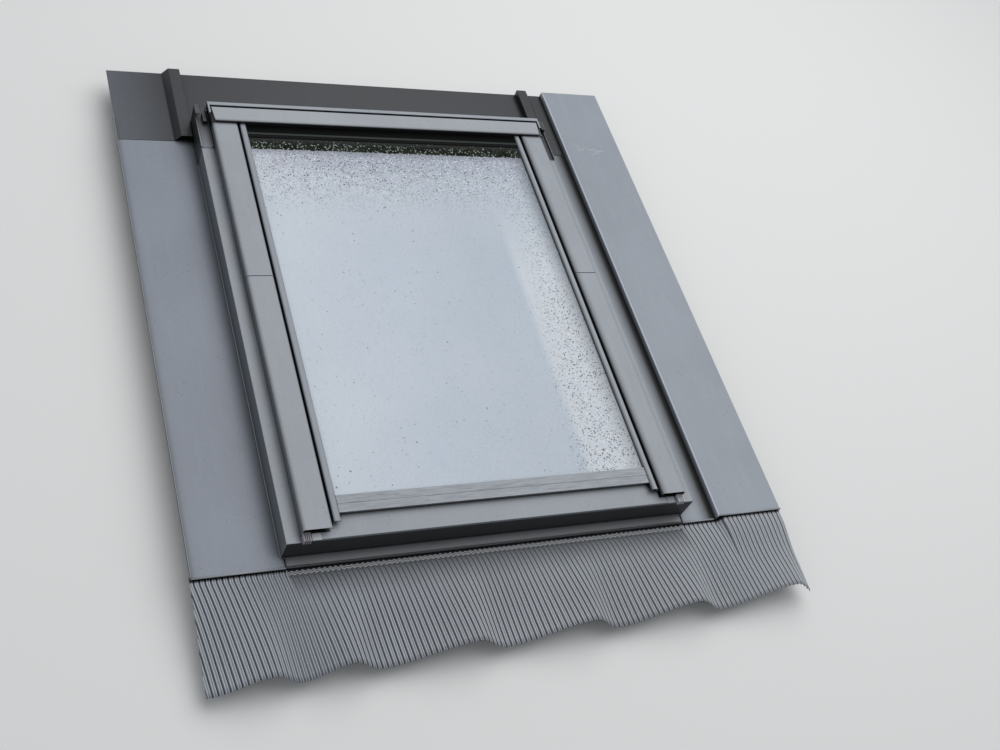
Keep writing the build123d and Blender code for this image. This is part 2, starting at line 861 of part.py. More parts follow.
def hinge_arm():
    """Right sash plate with the arc rib that turns in the frame's track."""
    lowest = axis_level - arm_radius
    disc = Pos(axis_y, axis_level) * (Circle(arm_radius) - Circle(arm_window))
    below = Pos(axis_y, (hinge_top + lowest) / 2) * Rectangle(2 * arm_radius, hinge_top - lowest)
    plate = bar_along_x(disc & below, sash_x, sash_x + arm_sheet)
    rib = sector(arc_radius - rib_width / 2, arc_radius + rib_width / 2, rib_start_angle, rib_end_angle)
    return plate + bar_along_x(rib, sash_x + arm_sheet, rib_tip)


def hinge_track():
    """Right frame plate with the open-ended arc groove."""
    plate = block(inner_x, track_back, axis_y - track_edge, axis_y + track_edge, hinge_low, hinge_top)
    reach = rib_width / 2 + track_clearance
    groove = sector(arc_radius - reach, arc_radius + reach, track_start_angle, track_end_angle)
    return plate - bar_along_x(groove, inner_x, groove_floor)


# Handle, pinion, racks and bolts

def lock_case():
    """Hollow case on the bottom rail, open towards it, with holes for the rods and spindle."""
    case = block(-case_half, case_half, spindle_y - case_width / 2, spindle_y + case_width / 2,
                 case_underside, sash_underside)
    case = fillet(case.edges().filter_by(Axis.Z), case_corner)
    inner_half = case_half - case_end
    inner_reach = case_width / 2 - case_wall
    case -= block(-inner_half, inner_half, spindle_y - inner_reach, spindle_y + inner_reach,
                  case_underside + case_floor, sash_underside)
    bore = rod_radius + rod_play
    case -= rod_along_x(bore, 0, case_half, spindle_y - rod_offset, rod_level)
    case -= rod_along_x(bore, -case_half, 0, spindle_y + rod_offset, rod_level)
    return case - Pos(0, spindle_y, case_underside) * Cylinder(spindle_radius + rod_play, 2 * case_floor)


def rack_outline():
    """Toothed bar in (x, y), its teeth pointing to the pinion and one gap under the pinion."""
    pitch_y = spindle_y - gear_radius
    root_y = pitch_y - gear_dedendum
    tip_y = pitch_y + gear_addendum
    root_half = gear_pitch / 4 - gear_backlash + gear_dedendum * rack_flank
    tip_half = gear_pitch / 4 - gear_backlash - gear_addendum * rack_flank
    points = []
    for tooth in range(rack_teeth):
        x = gear_pitch * (tooth - rack_teeth + 1.5)
        points += [(x - root_half, root_y), (x - tip_half, tip_y), (x + tip_half, tip_y), (x + root_half, root_y)]
    start = points[0][0] - root_half
    end = points[-1][0] + 2 * gear_pitch
    back_y = spindle_y - rod_offset - rod_radius
    return polygon((start, back_y), (start, root_y), *points, (end, root_y), (end, back_y))


def bolt_rod():
    """Right bolt, drawn back: a rack in the case and a round rod out through the keeps."""
    low = rod_level - gear_thickness / 2
    rack = extrude(Pos(0, 0, low) * rack_outline(), amount=gear_thickness)
    start = rack.bounding_box().max.X - gear_pitch
    rod = rod_along_x(rod_radius, start, sash_x - rod_tip_inset, spindle_y - rod_offset, rod_level)
    rod = chamfer(rod.edges().group_by(Axis.X)[-1], rod_radius / 4)
    return rack + rod


def bolt_rod_left():
    """The same piece turned half round the spindle, so that the pinion drives both apart."""
    return Rotation(0, 0, 180) * (Pos(0, -2 * spindle_y, 0) * bolt_rod())


def pinion():
    """Ten-toothed wheel on top of the spindle."""
    root = gear_radius - gear_dedendum
    tip = gear_radius + gear_addendum
    root_half = gear_pitch / 4 - gear_backlash + gear_dedendum * rack_flank / 2
    tip_half = gear_pitch / 4 - gear_backlash - gear_addendum * rack_flank
    tooth = polygon((0, -root_half), (root, -root_half), (tip, -tip_half), (tip, tip_half),
                    (root, root_half), (0, root_half))
    wheel = Circle(root)
    for index in range(gear_teeth):
        wheel += Rot(0, 0, 360 * (index + 0.5) / gear_teeth + 90 - 180 / gear_teeth) * tooth
    return extrude(Pos(0, spindle_y, rod_level - gear_thickness / 2) * wheel, amount=gear_thickness)


def rod_keeps():
    """Guides of the two rods under the bottom rail."""
    group = []
    half = rod_radius + rod_play + keep_wall
    for side in (-1, 1):
        y = spindle_y - side * rod_offset
        for place in keep_places:
            x = side * place
            keep = block(x - keep_width / 2, x + keep_width / 2, y - half, y + half,
                         rod_level - half, sash_underside)
            keep -= rod_along_x(rod_radius + rod_play, x - keep_width, x + keep_width, y, rod_level)
            group.append(keep)
    return Compound(children=group)


def bolt_bush(y):
    """Bush in the right jamb that the bolt enters."""
    depth = inner_x + rod_travel + 2 * rod_tip_inset
    return bush_hole(y) - rod_along_x(rod_radius + rod_play, inner_x, depth, y, rod_level)


def handle():
    """Lever, collar and spindle, turning about Z."""
    collar_height = handle_neck_length - track_clearance
    spindle_top = rod_level - gear_thickness / 2
    body = Pos(0, spindle_y, (neck_low + spindle_top) / 2) * Cylinder(spindle_radius, spindle_top - neck_low)
    body += Pos(0, spindle_y, neck_low + collar_height / 2) * Cylinder(lever_width / 2, collar_height)
    plan = Pos((lever_length - lever_width) / 2, spindle_y) * SlotOverall(lever_length, lever_width)
    lever = extrude(Pos(0, 0, neck_low - lever_thickness) * plan, amount=lever_thickness)
    lever = fillet(lever.edges().group_by(Axis.Z)[0], lever_thickness / 3)
    return lever + body


# Seals

def sash_seal(low, high):
    """Rubber strip round the sash between two heights, clear of the hinges."""
    strip = block(-inner_x + seal_clearance, inner_x - seal_clearance, low, high,
                  seal_level, seal_level + seal_height)
    body = block(-sash_x, sash_x, -sash_y, sash_y, seal_level, seal_level + seal_height)
    return strip - (body - toe_cut())


# Fixing brackets and their screws

def fixing_brackets():
    """Four steel angles that carry the frame on the roof's battens."""
    group = []
    foot = bracket_level - bracket_leg
    outline = folded((timber_x, foot), (timber_x, bracket_level), (timber_x + bracket_reach, bracket_level),
                     thickness=bracket_sheet, radii=[bracket_sheet + bend_radius])
    for y in (-bracket_y, bracket_y):
        bracket = bar_along_y(outline, y - bracket_width / 2, y + bracket_width / 2)
        bracket -= Pos(timber_x + bracket_hole_reach, y, bracket_level) * Cylinder(bracket_hole, 4 * bracket_sheet)
        for half in (-screw_spread / 2, screw_spread / 2):
            bracket -= rod_along_x(screw_radius + screw_play, timber_x, timber_x + 2 * bracket_sheet,
                                   y + half, bracket_level - bracket_leg / 2)
        group += [bracket, mirrored(bracket)]
    return Compound(children=group)


def bracket_screws():
    group = []
    face = timber_x + bracket_sheet
    z = bracket_level - bracket_leg / 2
    for y in bracket_screw_places():
        screw = rod_along_x(screw_radius, timber_x - screw_length, face, y, z)
        screw += rod_along_x(screw_head_radius, face, face + screw_head_height, y, z)
        group += [screw, mirrored(screw)]
    return Compound(children=group)


# Frame
write("frame_jamb_right", frame_jamb(spindle_y - rod_offset))
write("frame_jamb_left", mirrored(frame_jamb(spindle_y + rod_offset)))
write("frame_head", frame_cross_member(inner_y, timber_y))
write("frame_sill", frame_cross_member(-inner_y, -timber_y))
write_pair("side_cladding", side_cladding())
write("sill_cladding", sill_cladding())
write("head_cladding", head_cladding())
write_pair("head_corner", head_corner())
write_pair("upper_cover", upper_cover())
write("upper_cover_clips", upper_clips())
write("hood", hood())
write("hood_rim", hood_rim())
write("hood_seal", hood_seal())
write_pair("hinge_track", hinge_track())
write("bolt_bush_right", bolt_bush(spindle_y - rod_offset))
write("bolt_bush_left", mirrored(bolt_bush(spindle_y + rod_offset)))
write("fixing_brackets", fixing_brackets())
write("bracket_screws", bracket_screws())

# Flashings
write("side_flashing_right", side_flashing_right())
write("side_flashing_left", side_flashing_left())
write("sill_flashing", sill_flashing())
write("head_flashing", head_flashing())
write("pleated_apron", pleated_apron())

# Sash
write_pair("sash_stile", sash_stile())
write("sash_top_rail", sash_top_rail())
write("sash_bottom_rail", sash_bottom_rail())
write("outer_pane", pane(glass_level - pane_thickness))
write("inner_pane", pane(pane_underside))
write("pane_spacer", ring(spacer_inset, spacer_width, pane_underside + pane_thickness, pane_cavity))
write("glazing_gasket", ring(0, gasket_width, rebate_level, gasket_height))
write_pair("glazing_bead", glazing_bead())
write("bottom_glazing_strip", bottom_strip())
write("top_glazing_strip", top_strip())
write("sash_sill_cover", sash_sill_cover())
write_pair("cover_tab", cover_tab())
write_pair("cover_plug", cover_plug())
write_pair("lower_cover", lower_cover())
write("lower_cover_clips", lower_clips())
write_pair("hinge_arm", hinge_arm())
write("upper_sash_seal", sash_seal(axis_y + track_edge + seal_hinge_gap, inner_y - seal_clearance))
write("lower_sash_seal", sash_seal(-sash_y - seal_sill_reach, axis_y - track_edge - seal_hinge_gap))
write("lock_case", lock_case())
write("rod_keeps", rod_keeps())

# Bolts and handle
write("bolt_rod_right", bolt_rod())
write("bolt_rod_left", bolt_rod_left())
write("pinion", pinion())
write("handle", handle())
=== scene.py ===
# Looks of a centre-pivot roof window on its CAD frame: materials, pleated apron, rain and thin trim.

import json
import math
import random

import bmesh
import bpy
from mathutils import Matrix, Vector


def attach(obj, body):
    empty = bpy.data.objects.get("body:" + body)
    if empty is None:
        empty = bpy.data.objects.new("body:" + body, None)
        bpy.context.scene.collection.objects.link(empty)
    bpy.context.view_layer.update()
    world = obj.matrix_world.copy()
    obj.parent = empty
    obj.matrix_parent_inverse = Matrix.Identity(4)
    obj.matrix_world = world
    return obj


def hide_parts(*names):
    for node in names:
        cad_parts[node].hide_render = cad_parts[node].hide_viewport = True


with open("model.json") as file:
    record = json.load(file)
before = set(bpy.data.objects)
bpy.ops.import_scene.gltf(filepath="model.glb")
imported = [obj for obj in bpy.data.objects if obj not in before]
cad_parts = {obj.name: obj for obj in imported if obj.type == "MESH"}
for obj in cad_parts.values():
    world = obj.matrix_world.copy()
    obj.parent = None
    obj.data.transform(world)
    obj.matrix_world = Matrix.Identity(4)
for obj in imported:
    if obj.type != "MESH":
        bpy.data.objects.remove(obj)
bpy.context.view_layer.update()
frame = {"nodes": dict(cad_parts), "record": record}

SCENE = bpy.context.scene


# Camera, at the photograph's angle

CAMERA_LENS, SENSOR_WIDTH = 43.797, 36.0
CAMERA_NEAR, CAMERA_FAR = 0.05, 60.0
CAMERA_PLACE = (-0.9049, -1.3323, 1.8304)
CAMERA_RIGHT = (0.90204185, -0.27798541, 0.33021904)
CAMERA_DOWN = (-0.04433927, -0.82064430, -0.56971657)
CAMERA_FORWARD = (0.42936527, 0.49926651, -0.75258117)


def add_camera():
    data = bpy.data.cameras.new("camera")
    data.lens = CAMERA_LENS
    data.sensor_width = SENSOR_WIDTH
    data.clip_start = CAMERA_NEAR
    data.clip_end = CAMERA_FAR
    obj = bpy.data.objects.new("camera", data)
    SCENE.collection.objects.link(obj)
    turn = Matrix((Vector(CAMERA_RIGHT), -Vector(CAMERA_DOWN), -Vector(CAMERA_FORWARD))).transposed()
    obj.matrix_world = Matrix.Translation(CAMERA_PLACE) @ turn.to_4x4()
    SCENE.camera = obj


# Building materials from nodes

SHELTER_SAMPLES, EDGE_SAMPLES = 12, 6
EDGE_FLAT, EDGE_SHARP = 0.985, 0.86


def rgb(r, g, b):
    """Linear colour of an sRGB colour given from 0 to 255."""
    out = []
    for value in (r, g, b):
        c = value / 255.0
        out.append(c / 12.92 if c <= 0.04045 else ((c + 0.055) / 1.055) ** 2.4)
    return (*out, 1.0)


def shade(colour, factor):
    """The same colour, lighter or darker by a factor."""
    return (*(min(1.0, factor * c) for c in colour[:3]), 1.0)


class Maker:
    """Short calls for building one material's nodes."""

    def __init__(self, name):
        self.mat = bpy.data.materials.new(name)
        self.mat.use_nodes = True
        self.tree = self.mat.node_tree
        self.tree.nodes.clear()
        out = self.tree.nodes.new("ShaderNodeOutputMaterial")
        self.shader = self.tree.nodes.new("ShaderNodeBsdfPrincipled")
        self.link(self.shader.outputs[0], out.inputs[0])
        self.coord = self.tree.nodes.new("ShaderNodeTexCoord").outputs["Object"]

    def link(self, a, b):
        self.tree.links.new(a, b)

    def feed(self, socket, value):
        """Link another node's output to a socket, or set the socket to a plain value."""
        if isinstance(value, bpy.types.NodeSocket):
            self.link(value, socket)
        else:
            socket.default_value = value

    def set(self, name, value):
        self.feed(self.shader.inputs[name], value)

    def stretch(self, scale):
        node = self.tree.nodes.new("ShaderNodeMapping")
        self.link(self.coord, node.inputs["Vector"])
        node.inputs["Scale"].default_value = scale
        return node.outputs[0]

    def noise(self, scale, detail=4.0, rough=0.55, at=None, distortion=0.0):
        node = self.tree.nodes.new("ShaderNodeTexNoise")
        node.inputs["Scale"].default_value = scale
        node.inputs["Detail"].default_value = detail
        node.inputs["Roughness"].default_value = rough
        node.inputs["Distortion"].default_value = distortion
        self.link(at or self.coord, node.inputs["Vector"])
        return node.outputs["Fac"]

    def cells(self, scale, at=None):
        """Distance to the nearest of many scattered points."""
        node = self.tree.nodes.new("ShaderNodeTexVoronoi")
        node.inputs["Scale"].default_value = scale
        self.link(at or self.coord, node.inputs["Vector"])
        return node.outputs["Distance"]

    def ramp(self, value, *stops):
        node = self.tree.nodes.new("ShaderNodeValToRGB")
        self.link(value, node.inputs[0])
        ramp = node.color_ramp
        while len(ramp.elements) < len(stops):
            ramp.elements.new(0.5)
        for element, (place, colour) in zip(ramp.elements, stops):
            element.position = place
            element.color = colour
        return node.outputs[0]

    def mix(self, factor, a, b):
        node = self.tree.nodes.new("ShaderNodeMix")
        node.data_type = "RGBA"
        for socket, value in ((node.inputs[0], factor), (node.inputs[6], a), (node.inputs[7], b)):
            self.feed(socket, value)
        return node.outputs[2]

    def math(self, mode, *values):
        node = self.tree.nodes.new("ShaderNodeMath")
        node.operation = mode
        for socket, value in zip(node.inputs, values):
            self.feed(socket, value)
        return node.outputs[0]

    def product(self, first, *others):
        for other in others:
            first = self.math("MULTIPLY", first, other)
        return first

    def split(self, output="Object"):
        """X, Y and Z of the object's own coordinates, or of its own normal."""
        coords = self.tree.nodes.new("ShaderNodeTexCoord")
        node = self.tree.nodes.new("ShaderNodeSeparateXYZ")
        self.link(coords.outputs[output], node.inputs[0])
        return node.outputs

    def shelter(self, distance):
        """Openness of the surface to its surroundings, 1 in the open and 0 deep in a gap."""
        node = self.tree.nodes.new("ShaderNodeAmbientOcclusion")
        node.samples = SHELTER_SAMPLES
        node.inputs["Distance"].default_value = distance
        return node.outputs["AO"]

    def attribute(self, name):
        node = self.tree.nodes.new("ShaderNodeAttribute")
        node.attribute_name = name
        return node.outputs["Fac"]

    def between(self, value, low, high):
        """0 below low, 1 above high and even in between; low may be the larger one."""
        node = self.tree.nodes.new("ShaderNodeMapRange")
        node.clamp = True
        self.link(value, node.inputs["Value"])
        node.inputs["From Min"].default_value = low
        node.inputs["From Max"].default_value = high
        return node.outputs["Result"]

    def edges(self, radius):
        """1 on sharp edges and 0 on the flats beside them."""
        rounded = self.tree.nodes.new("ShaderNodeBevel")
        rounded.samples = EDGE_SAMPLES
        rounded.inputs["Radius"].default_value = radius
        flat = self.tree.nodes.new("ShaderNodeNewGeometry").outputs["Normal"]
        dot = self.tree.nodes.new("ShaderNodeVectorMath")
        dot.operation = "DOT_PRODUCT"
        self.link(rounded.outputs[0], dot.inputs[0])
        self.link(flat, dot.inputs[1])
        return self.between(dot.outputs["Value"], EDGE_FLAT, EDGE_SHARP)

    def bump(self, height, strength, distance, edge=0.0):
        """Bump from a height; with edge, corners are also shaded as rounded by that radius."""
        node = self.tree.nodes.new("ShaderNodeBump")
        node.inputs["Strength"].default_value = strength
        node.inputs["Distance"].default_value = distance
        self.link(height, node.inputs["Height"])
        if edge:
            round_off = self.tree.nodes.new("ShaderNodeBevel")
            round_off.inputs["Radius"].default_value = edge
            self.link(round_off.outputs[0], node.inputs["Normal"])
        self.set("Normal", node.outputs[0])


# Places of painted shade, dark painted reflection, painted highlight and scuffs, each from 0 to 1 in
# strength

# Colours of painted shade: the first darkens gaps, the second the places below
PAINTED_GAP_SHADE = rgb(17, 18, 19)
BLACK = rgb(9, 10, 12)

# Ranges in metres on the object's own axes, from where a mark starts to where it is full
COVER_END_X, COVER_END_Y = (0.3148, 0.3158), (-0.4785, -0.4768)
COVER_ROUND_X, BEAD_SLOPE_X = (0.328, 0.3145), (0.3045, 0.3005)
UNDER_HOOD_Y, HOOD_FOOT_Y = (0.4205, 0.4305), (0.4375, 0.4312)
FRONT_EDGE_Y = (-0.5035, -0.5058)
GUTTER_STEP_X, GUTTER_X, GUTTER_Z = (0.418, 0.4245), (0.427, 0.449), (0.063, 0.052)
RISER_LEFT_X, RISER_RIGHT_X, RISER_Z = (0.4545, 0.4555), (0.4625, 0.4612), (0.0525, 0.0655)
SCUFF_LEFT_X, SCUFF_RIGHT_X = (0.478, 0.495), (0.565, 0.548)
SCUFF_LOW_Y, SCUFF_HIGH_Y = (0.42, 0.44), (0.485, 0.468)
HIGH_CORNER_Y = (0.385, 0.455)
HEAD_X, HEAD_RIGHT_X = (0.53, 0.43), (0.384, 0.396)


def under_cover(m):
    """Painted shade inside the open lower end of a side cover."""
    x, y, _ = m.split()
    return m.product(m.between(m.math("ABSOLUTE", x), *COVER_END_X), m.between(y, *COVER_END_Y))


def under_hood(m):
    """Painted shade just below the hood's front edge."""
    return m.product(m.math("POWER", m.between(m.split()[1], *UNDER_HOOD_Y), 2.0), 0.92)


def along_front(m):
    """Painted shadow along a flashing's front edge."""
    return m.product(m.between(m.split()[1], *FRONT_EDGE_Y), 0.85)


def beside_riser(m):
    """Painted shade down in the right gutter, towards its riser."""
    x, _, z = m.split()
    near = m.math("POWER", m.between(x, *GUTTER_X), 1.1)
    step = m.product(m.between(x, *GUTTER_STEP_X), 0.14)
    return m.product(m.math("MULTIPLY_ADD", near, 0.86, step), m.between(z, *GUTTER_Z))


def riser_highlight_and_scuffs(m):
    """On the right flashing: a painted highlight on its riser's upper part, and scuffs near the top of
    its panel.
    """
    x, y, z = m.split()
    riser = m.product(m.between(x, *RISER_LEFT_X), m.between(x, *RISER_RIGHT_X))
    riser = m.product(riser, m.between(z, *RISER_Z), 0.9)
    streaks = m.between(m.noise(55.0, 4.0, 0.6, at=m.stretch((1.0, 2.2, 1.0))), 0.5, 0.66)
    across = m.product(m.between(x, *SCUFF_LEFT_X), m.between(x, *SCUFF_RIGHT_X))
    along = m.product(m.between(y, *SCUFF_LOW_Y), m.between(y, *SCUFF_HIGH_Y))
    return m.math("MAXIMUM", riser, m.product(streaks, across, along, 0.5))


def hood_foot(m):
    """Painted shade on the hood's front, towards its lower edge."""
    return m.product(m.math("POWER", m.between(m.split()[1], *HOOD_FOOT_Y), 1.5), 0.75)


def inner_round(m):
    """Painted shade and dark painted reflection on the right cover's inner round, which faces away from
    the sky, and painted shade below the hood.
    """
    near = m.product(m.math("POWER", m.between(m.split()[0], *COVER_ROUND_X), 1.2), 0.72)
    return m.math("MAXIMUM", near, under_hood(m))


def inner_slope(m):
    """Painted dark reflection on the right bead's slope towards the glass."""
    return m.product(m.between(m.split()[0], *BEAD_SLOPE_X), 0.45)


def high_corner(m):
    """Painted shade on a head corner, towards its upper end."""
    return m.product(m.between(m.split()[1], *HIGH_CORNER_Y), 0.75)


def beside_head(m):
    """Painted shade on the head flashing, towards the frame's corners, and more so at the right one."""
    x = m.split()[0]
    near = m.product(m.between(m.math("ABSOLUTE", x), *HEAD_X), 0.72)
    return m.math("MAXIMUM", near, m.product(m.between(x, *HEAD_RIGHT_X), 0.78))


# Lacquered sheet

def weathered(m, colour):
    """A colour with clouds, rain runs down the slope, specks of dirt and specks of dust."""
    clouds = m.between(m.noise(6.0, 3.0, 0.5), 0.36, 0.66)
    runs = m.between(m.noise(14.0, 4.0, 0.55, at=m.stretch((5.0, 0.7, 5.0))), 0.5, 0.72)
    dirt = m.between(m.cells(95.0), 0.16, 0.09)
    rare = m.between(m.noise(30.0, 1.0), 0.5, 0.62)
    dust = m.between(m.cells(120.0, at=m.stretch((1.0, 1.0, 1.3))), 0.13, 0.07)
    base = m.mix(clouds, shade(colour, 0.92), colour)
    base = m.mix(m.product(runs, 0.35), base, shade(colour, 1.09))
    base = m.mix(m.product(dirt, rare, 0.5), base, rgb(78, 82, 88))
    return m.mix(m.product(dust, 0.3), base, rgb(196, 201, 206))


def scratched(m, base, strength):
    """A colour with fine pale and dark scratches along the eaves."""
    lines = m.noise(30.0, 4.0, 0.65, at=m.stretch((1.0, 13.0, 4.0)))
    base = m.mix(m.product(m.between(lines, 0.52, 0.66), strength), base, rgb(178, 181, 186))
    return m.mix(m.product(m.between(lines, 0.45, 0.34), strength), base, rgb(104, 108, 113))


def lacquer(name, colour, side, gap=0.034, dark=None, light=None, edge_highlight_and_wear=0.45, scratches=0.0):
    """Satin lacquer: side is painted shade on its upright faces; painted shade nearly black in gaps, and
    pale edges of painted highlight and wear. The dark mask adds painted shade and dark painted
    reflection, the light one painted highlight and scuffs.
    """
    m = Maker(name)
    fine = m.noise(420.0, 2.0, 0.6)
    base = weathered(m, colour)
    if scratches:
        base = scratched(m, base, scratches)
    lying = m.between(m.split("Normal")[2], 0.25, 0.8)
    # Painted shade: the side colour on upright faces
    base = m.mix(lying, side, base)
    # Pale edges: painted highlight and wear
    base = m.mix(m.product(m.edges(0.0011), edge_highlight_and_wear), base, rgb(200, 206, 212))
    # Painted shade, nearly black, in gaps
    base = m.mix(m.between(m.shelter(gap), 0.3, 0.85), PAINTED_GAP_SHADE, base)
    # Painted shade and dark painted reflection where the dark mask says
    if dark:
        base = m.mix(dark(m), base, BLACK)
    # Painted highlight and scuffs where the light mask says
    if light:
        base = m.mix(light(m), base, rgb(180, 186, 195))
    m.set("Base Color", base)
    m.set("Roughness", m.math("MULTIPLY_ADD", fine, 0.16, 0.32))
    m.bump(fine, 0.1, 0.0003, 0.0009)
    return m.mat


def pleated_lacquer(name):
    """Lacquer on the pleats: painted highlight on the ridges and raised crimps, painted shade down in the
    folds, in the crimp's hollows, under the flashing and in the gap below its edge.
    """
    m = Maker(name)
    x = m.split()[0]
    clouds = m.noise(5.0, 3.0, 0.55)
    fine = m.noise(380.0, 2.0, 0.6)
    crimp = m.attribute("crimp")
    # Painted highlight on the ridges and painted shade in the folds, by the pleat's height
    base = m.ramp(m.attribute("ridge"), (0.0, rgb(56, 59, 65)), (0.3, rgb(97, 101, 107)),
                  (0.62, rgb(140, 144, 150)), (0.85, rgb(171, 175, 180)), (1.0, rgb(191, 194, 199)))
    base = m.mix(m.product(m.between(x, -0.1, -0.45), 0.1), base, rgb(112, 124, 150))
    base = m.mix(m.product(m.between(x, 0.25, 0.5), 0.1), base, rgb(214, 219, 226))
    base = m.mix(m.product(m.between(clouds, 0.68, 0.35), 0.14), base, rgb(60, 64, 70))
    # Painted shade below the flashing
    base = m.mix(m.product(m.attribute("sheltered"), 0.56), base, rgb(52, 54, 58))
    # Painted highlight on the crimp's raised folds, painted shade in its hollows
    base = m.mix(m.between(crimp, 0.1, 1.0), base, rgb(204, 206, 208))
    base = m.mix(m.between(crimp, -0.1, -1.0), base, rgb(54, 55, 58))
    # Painted shadow below the flashing's front edge
    base = m.mix(m.attribute("gap"), base, rgb(10, 11, 13))
    m.set("Base Color", base)
    m.set("Roughness", m.math("MULTIPLY_ADD", fine, 0.18, 0.36))
    m.bump(fine, 0.12, 0.0003)
    return m.mat


# Other materials

def plain(name, colour, roughness, metallic=0.0, gap=0.02, dark=None):
    """One slightly uneven colour, with painted shade in gaps unless the gap distance is 0, and more
    painted shade where the dark mask says.
    """
    m = Maker(name)
    fine = m.noise(260.0, 3.0, 0.6)
    tint = m.ramp(m.noise(24.0), (0.3, shade(colour, 0.88)), (0.7, colour))
    if gap:
        # Painted shade in gaps
        tint = m.mix(m.between(m.shelter(gap), 0.25, 0.85), PAINTED_GAP_SHADE, tint)
    # More painted shade where the dark mask says
    if dark:
        tint = m.mix(dark(m), tint, BLACK)
    m.set("Base Color", tint)
    m.set("Roughness", m.math("MULTIPLY_ADD", fine, 0.15, roughness - 0.07))
    m.set("Metallic", metallic)
    m.bump(fine, 0.1, 0.0003)
    return m.mat


# Where the strip's paler line, its darkest painted shade and its lighter foot lie, in metres along y
PALE_LINE_LOW_Y, PALE_LINE_HIGH_Y = (0.4050, 0.4068), (0.4118, 0.4098)
DARKEST_Y, STRIP_FOOT_Y = (0.4180, 0.4220), (0.4045, 0.4025)


def sheltered_strip(name):
    """Strip in the hood's painted shade: nearly black, darkest towards the hood and lighter at its foot,
    with one paler line along it.
    """
    m = Maker(name)
    y = m.split()[1]
    fine = m.noise(200.0, 3.0, 0.6)
    pale_line = m.product(m.between(y, *PALE_LINE_LOW_Y), m.between(y, *PALE_LINE_HIGH_Y))
    base = m.mix(m.between(fine, 0.4, 0.7), rgb(7, 8, 8), rgb(13, 15, 14))
    base = m.mix(m.between(y, *DARKEST_Y), base, rgb(2, 2, 2))
    base = m.mix(m.between(y, *STRIP_FOOT_Y), base, rgb(26, 28, 26))
    base = m.mix(pale_line, base, rgb(60, 64, 65))
    m.set("Base Color", base)
    m.set("Roughness", 0.85)
    m.set("Specular IOR Level", 0.08)
    m.bump(fine, 0.1, 0.0003)
    return m.mat


def painted_hood_reflection(name):
    """Painted reflection of the hood on the wet glass, green and black, with painted glints of water in
    it.
    """
    m = Maker(name)
    y = m.split()[1]
    fine = m.noise(300.0, 3.0, 0.7)
    green = m.mix(m.between(m.noise(45.0, 3.0), 0.4, 0.62), rgb(12, 14, 15), rgb(34, 40, 28))
    paler_patches = m.product(m.between(fine, 0.5, 0.66), m.between(y, 0.391, 0.388))
    water_glints = m.product(m.between(m.cells(170.0), 0.3, 0.2), m.between(y, 0.391, 0.386))
    base = m.mix(m.between(y, 0.388, 0.392), green, rgb(46, 48, 46))
    base = m.mix(paler_patches, base, rgb(52, 58, 48))
    base = m.mix(water_glints, base, rgb(158, 168, 160))
    m.set("Base Color", base)
    m.set("Roughness", 0.8)
    m.set("Specular IOR Level", 0.1)
    m.bump(fine, 0.2, 0.0004)
    return m.mat


def pine(name, across=9.0, along=0.7):
    """Lacquered pine, its grain along y unless the two stretches are swapped."""
    m = Maker(name)
    rings = m.noise(7.0, 4.0, 0.55, at=m.stretch((across, along, 9.0)), distortion=0.6)
    fine = m.noise(60.0, 3.0, 0.6, at=m.stretch((1.5 * across, 0.9 * along, 14.0)))
    base = m.ramp(rings, (0.35, rgb(222, 182, 124)), (0.5, rgb(206, 158, 98)), (0.66, rgb(184, 130, 74)))
    base = m.mix(m.product(fine, 0.3), base, rgb(168, 118, 66))
    m.set("Base Color", base)
    m.set("Roughness", 0.38)
    m.bump(fine, 0.15, 0.0004)
    return m.mat


def painted_sky_reflection(m, x, y):
    """Painted reflection of the sky in the pane: deeper near the top, paler at the left and in a band at
    the right.
    """
    clouds = m.between(m.noise(3.2, 3.0, 0.5), 0.35, 0.65)
    mottle = m.product(m.between(m.noise(26.0, 3.0, 0.6), 0.48, 0.62), m.between(y, 0.2, 0.36))
    band = m.product(m.between(x, 0.178, 0.196), m.between(y, 0.25, 0.05))
    base = m.mix(clouds, rgb(212, 223, 236), rgb(222, 231, 242))
    base = m.mix(m.product(m.between(y, 0.05, 0.36), 0.3), base, rgb(182, 189, 202))
    base = m.mix(m.product(m.between(y, 0.29, 0.36), 0.7), base, rgb(160, 168, 188))
    base = m.mix(m.product(m.between(x, -0.1, -0.25), 0.3), base, rgb(240, 245, 250))
    base = m.mix(m.product(m.between(x, -0.1, 0.1), 0.34), base, rgb(176, 190, 204))
    base = m.mix(m.product(mottle, 0.5), base, rgb(186, 184, 204))
    return m.mix(m.product(band, 0.6), base, rgb(240, 244, 248))


def rained_on(m, base, x, y):
    """A colour with fine beads of rain painted darker than the sky they bend, and painted glints, thick
    near the top and along the right side.
    """
    side = m.between(m.math("MULTIPLY_ADD", y, -0.095, x), 0.19, 0.245)
    side = m.product(side, m.math("MULTIPLY_ADD", m.between(y, 0.05, -0.1), 0.4, 0.6))
    wet = m.math("MULTIPLY_ADD", m.math("MAXIMUM", m.between(y, 0.2, 0.3), side), 0.9, 0.1)
    for scale, patches in ((150.0, 37.0), (230.0, 53.0)):
        some = m.between(m.noise(patches, 1.0), 0.4, 0.48)
        beads = m.product(m.between(m.cells(scale), 0.3, 0.2), some, wet)
        base = m.mix(m.product(beads, 0.9), base, rgb(58, 66, 82))
    glints = m.product(m.between(m.cells(165.0, at=m.stretch((1.0, 1.0, 1.7))), 0.31, 0.2), wet)
    return m.mix(m.product(glints, 0.9), base, rgb(255, 255, 255))


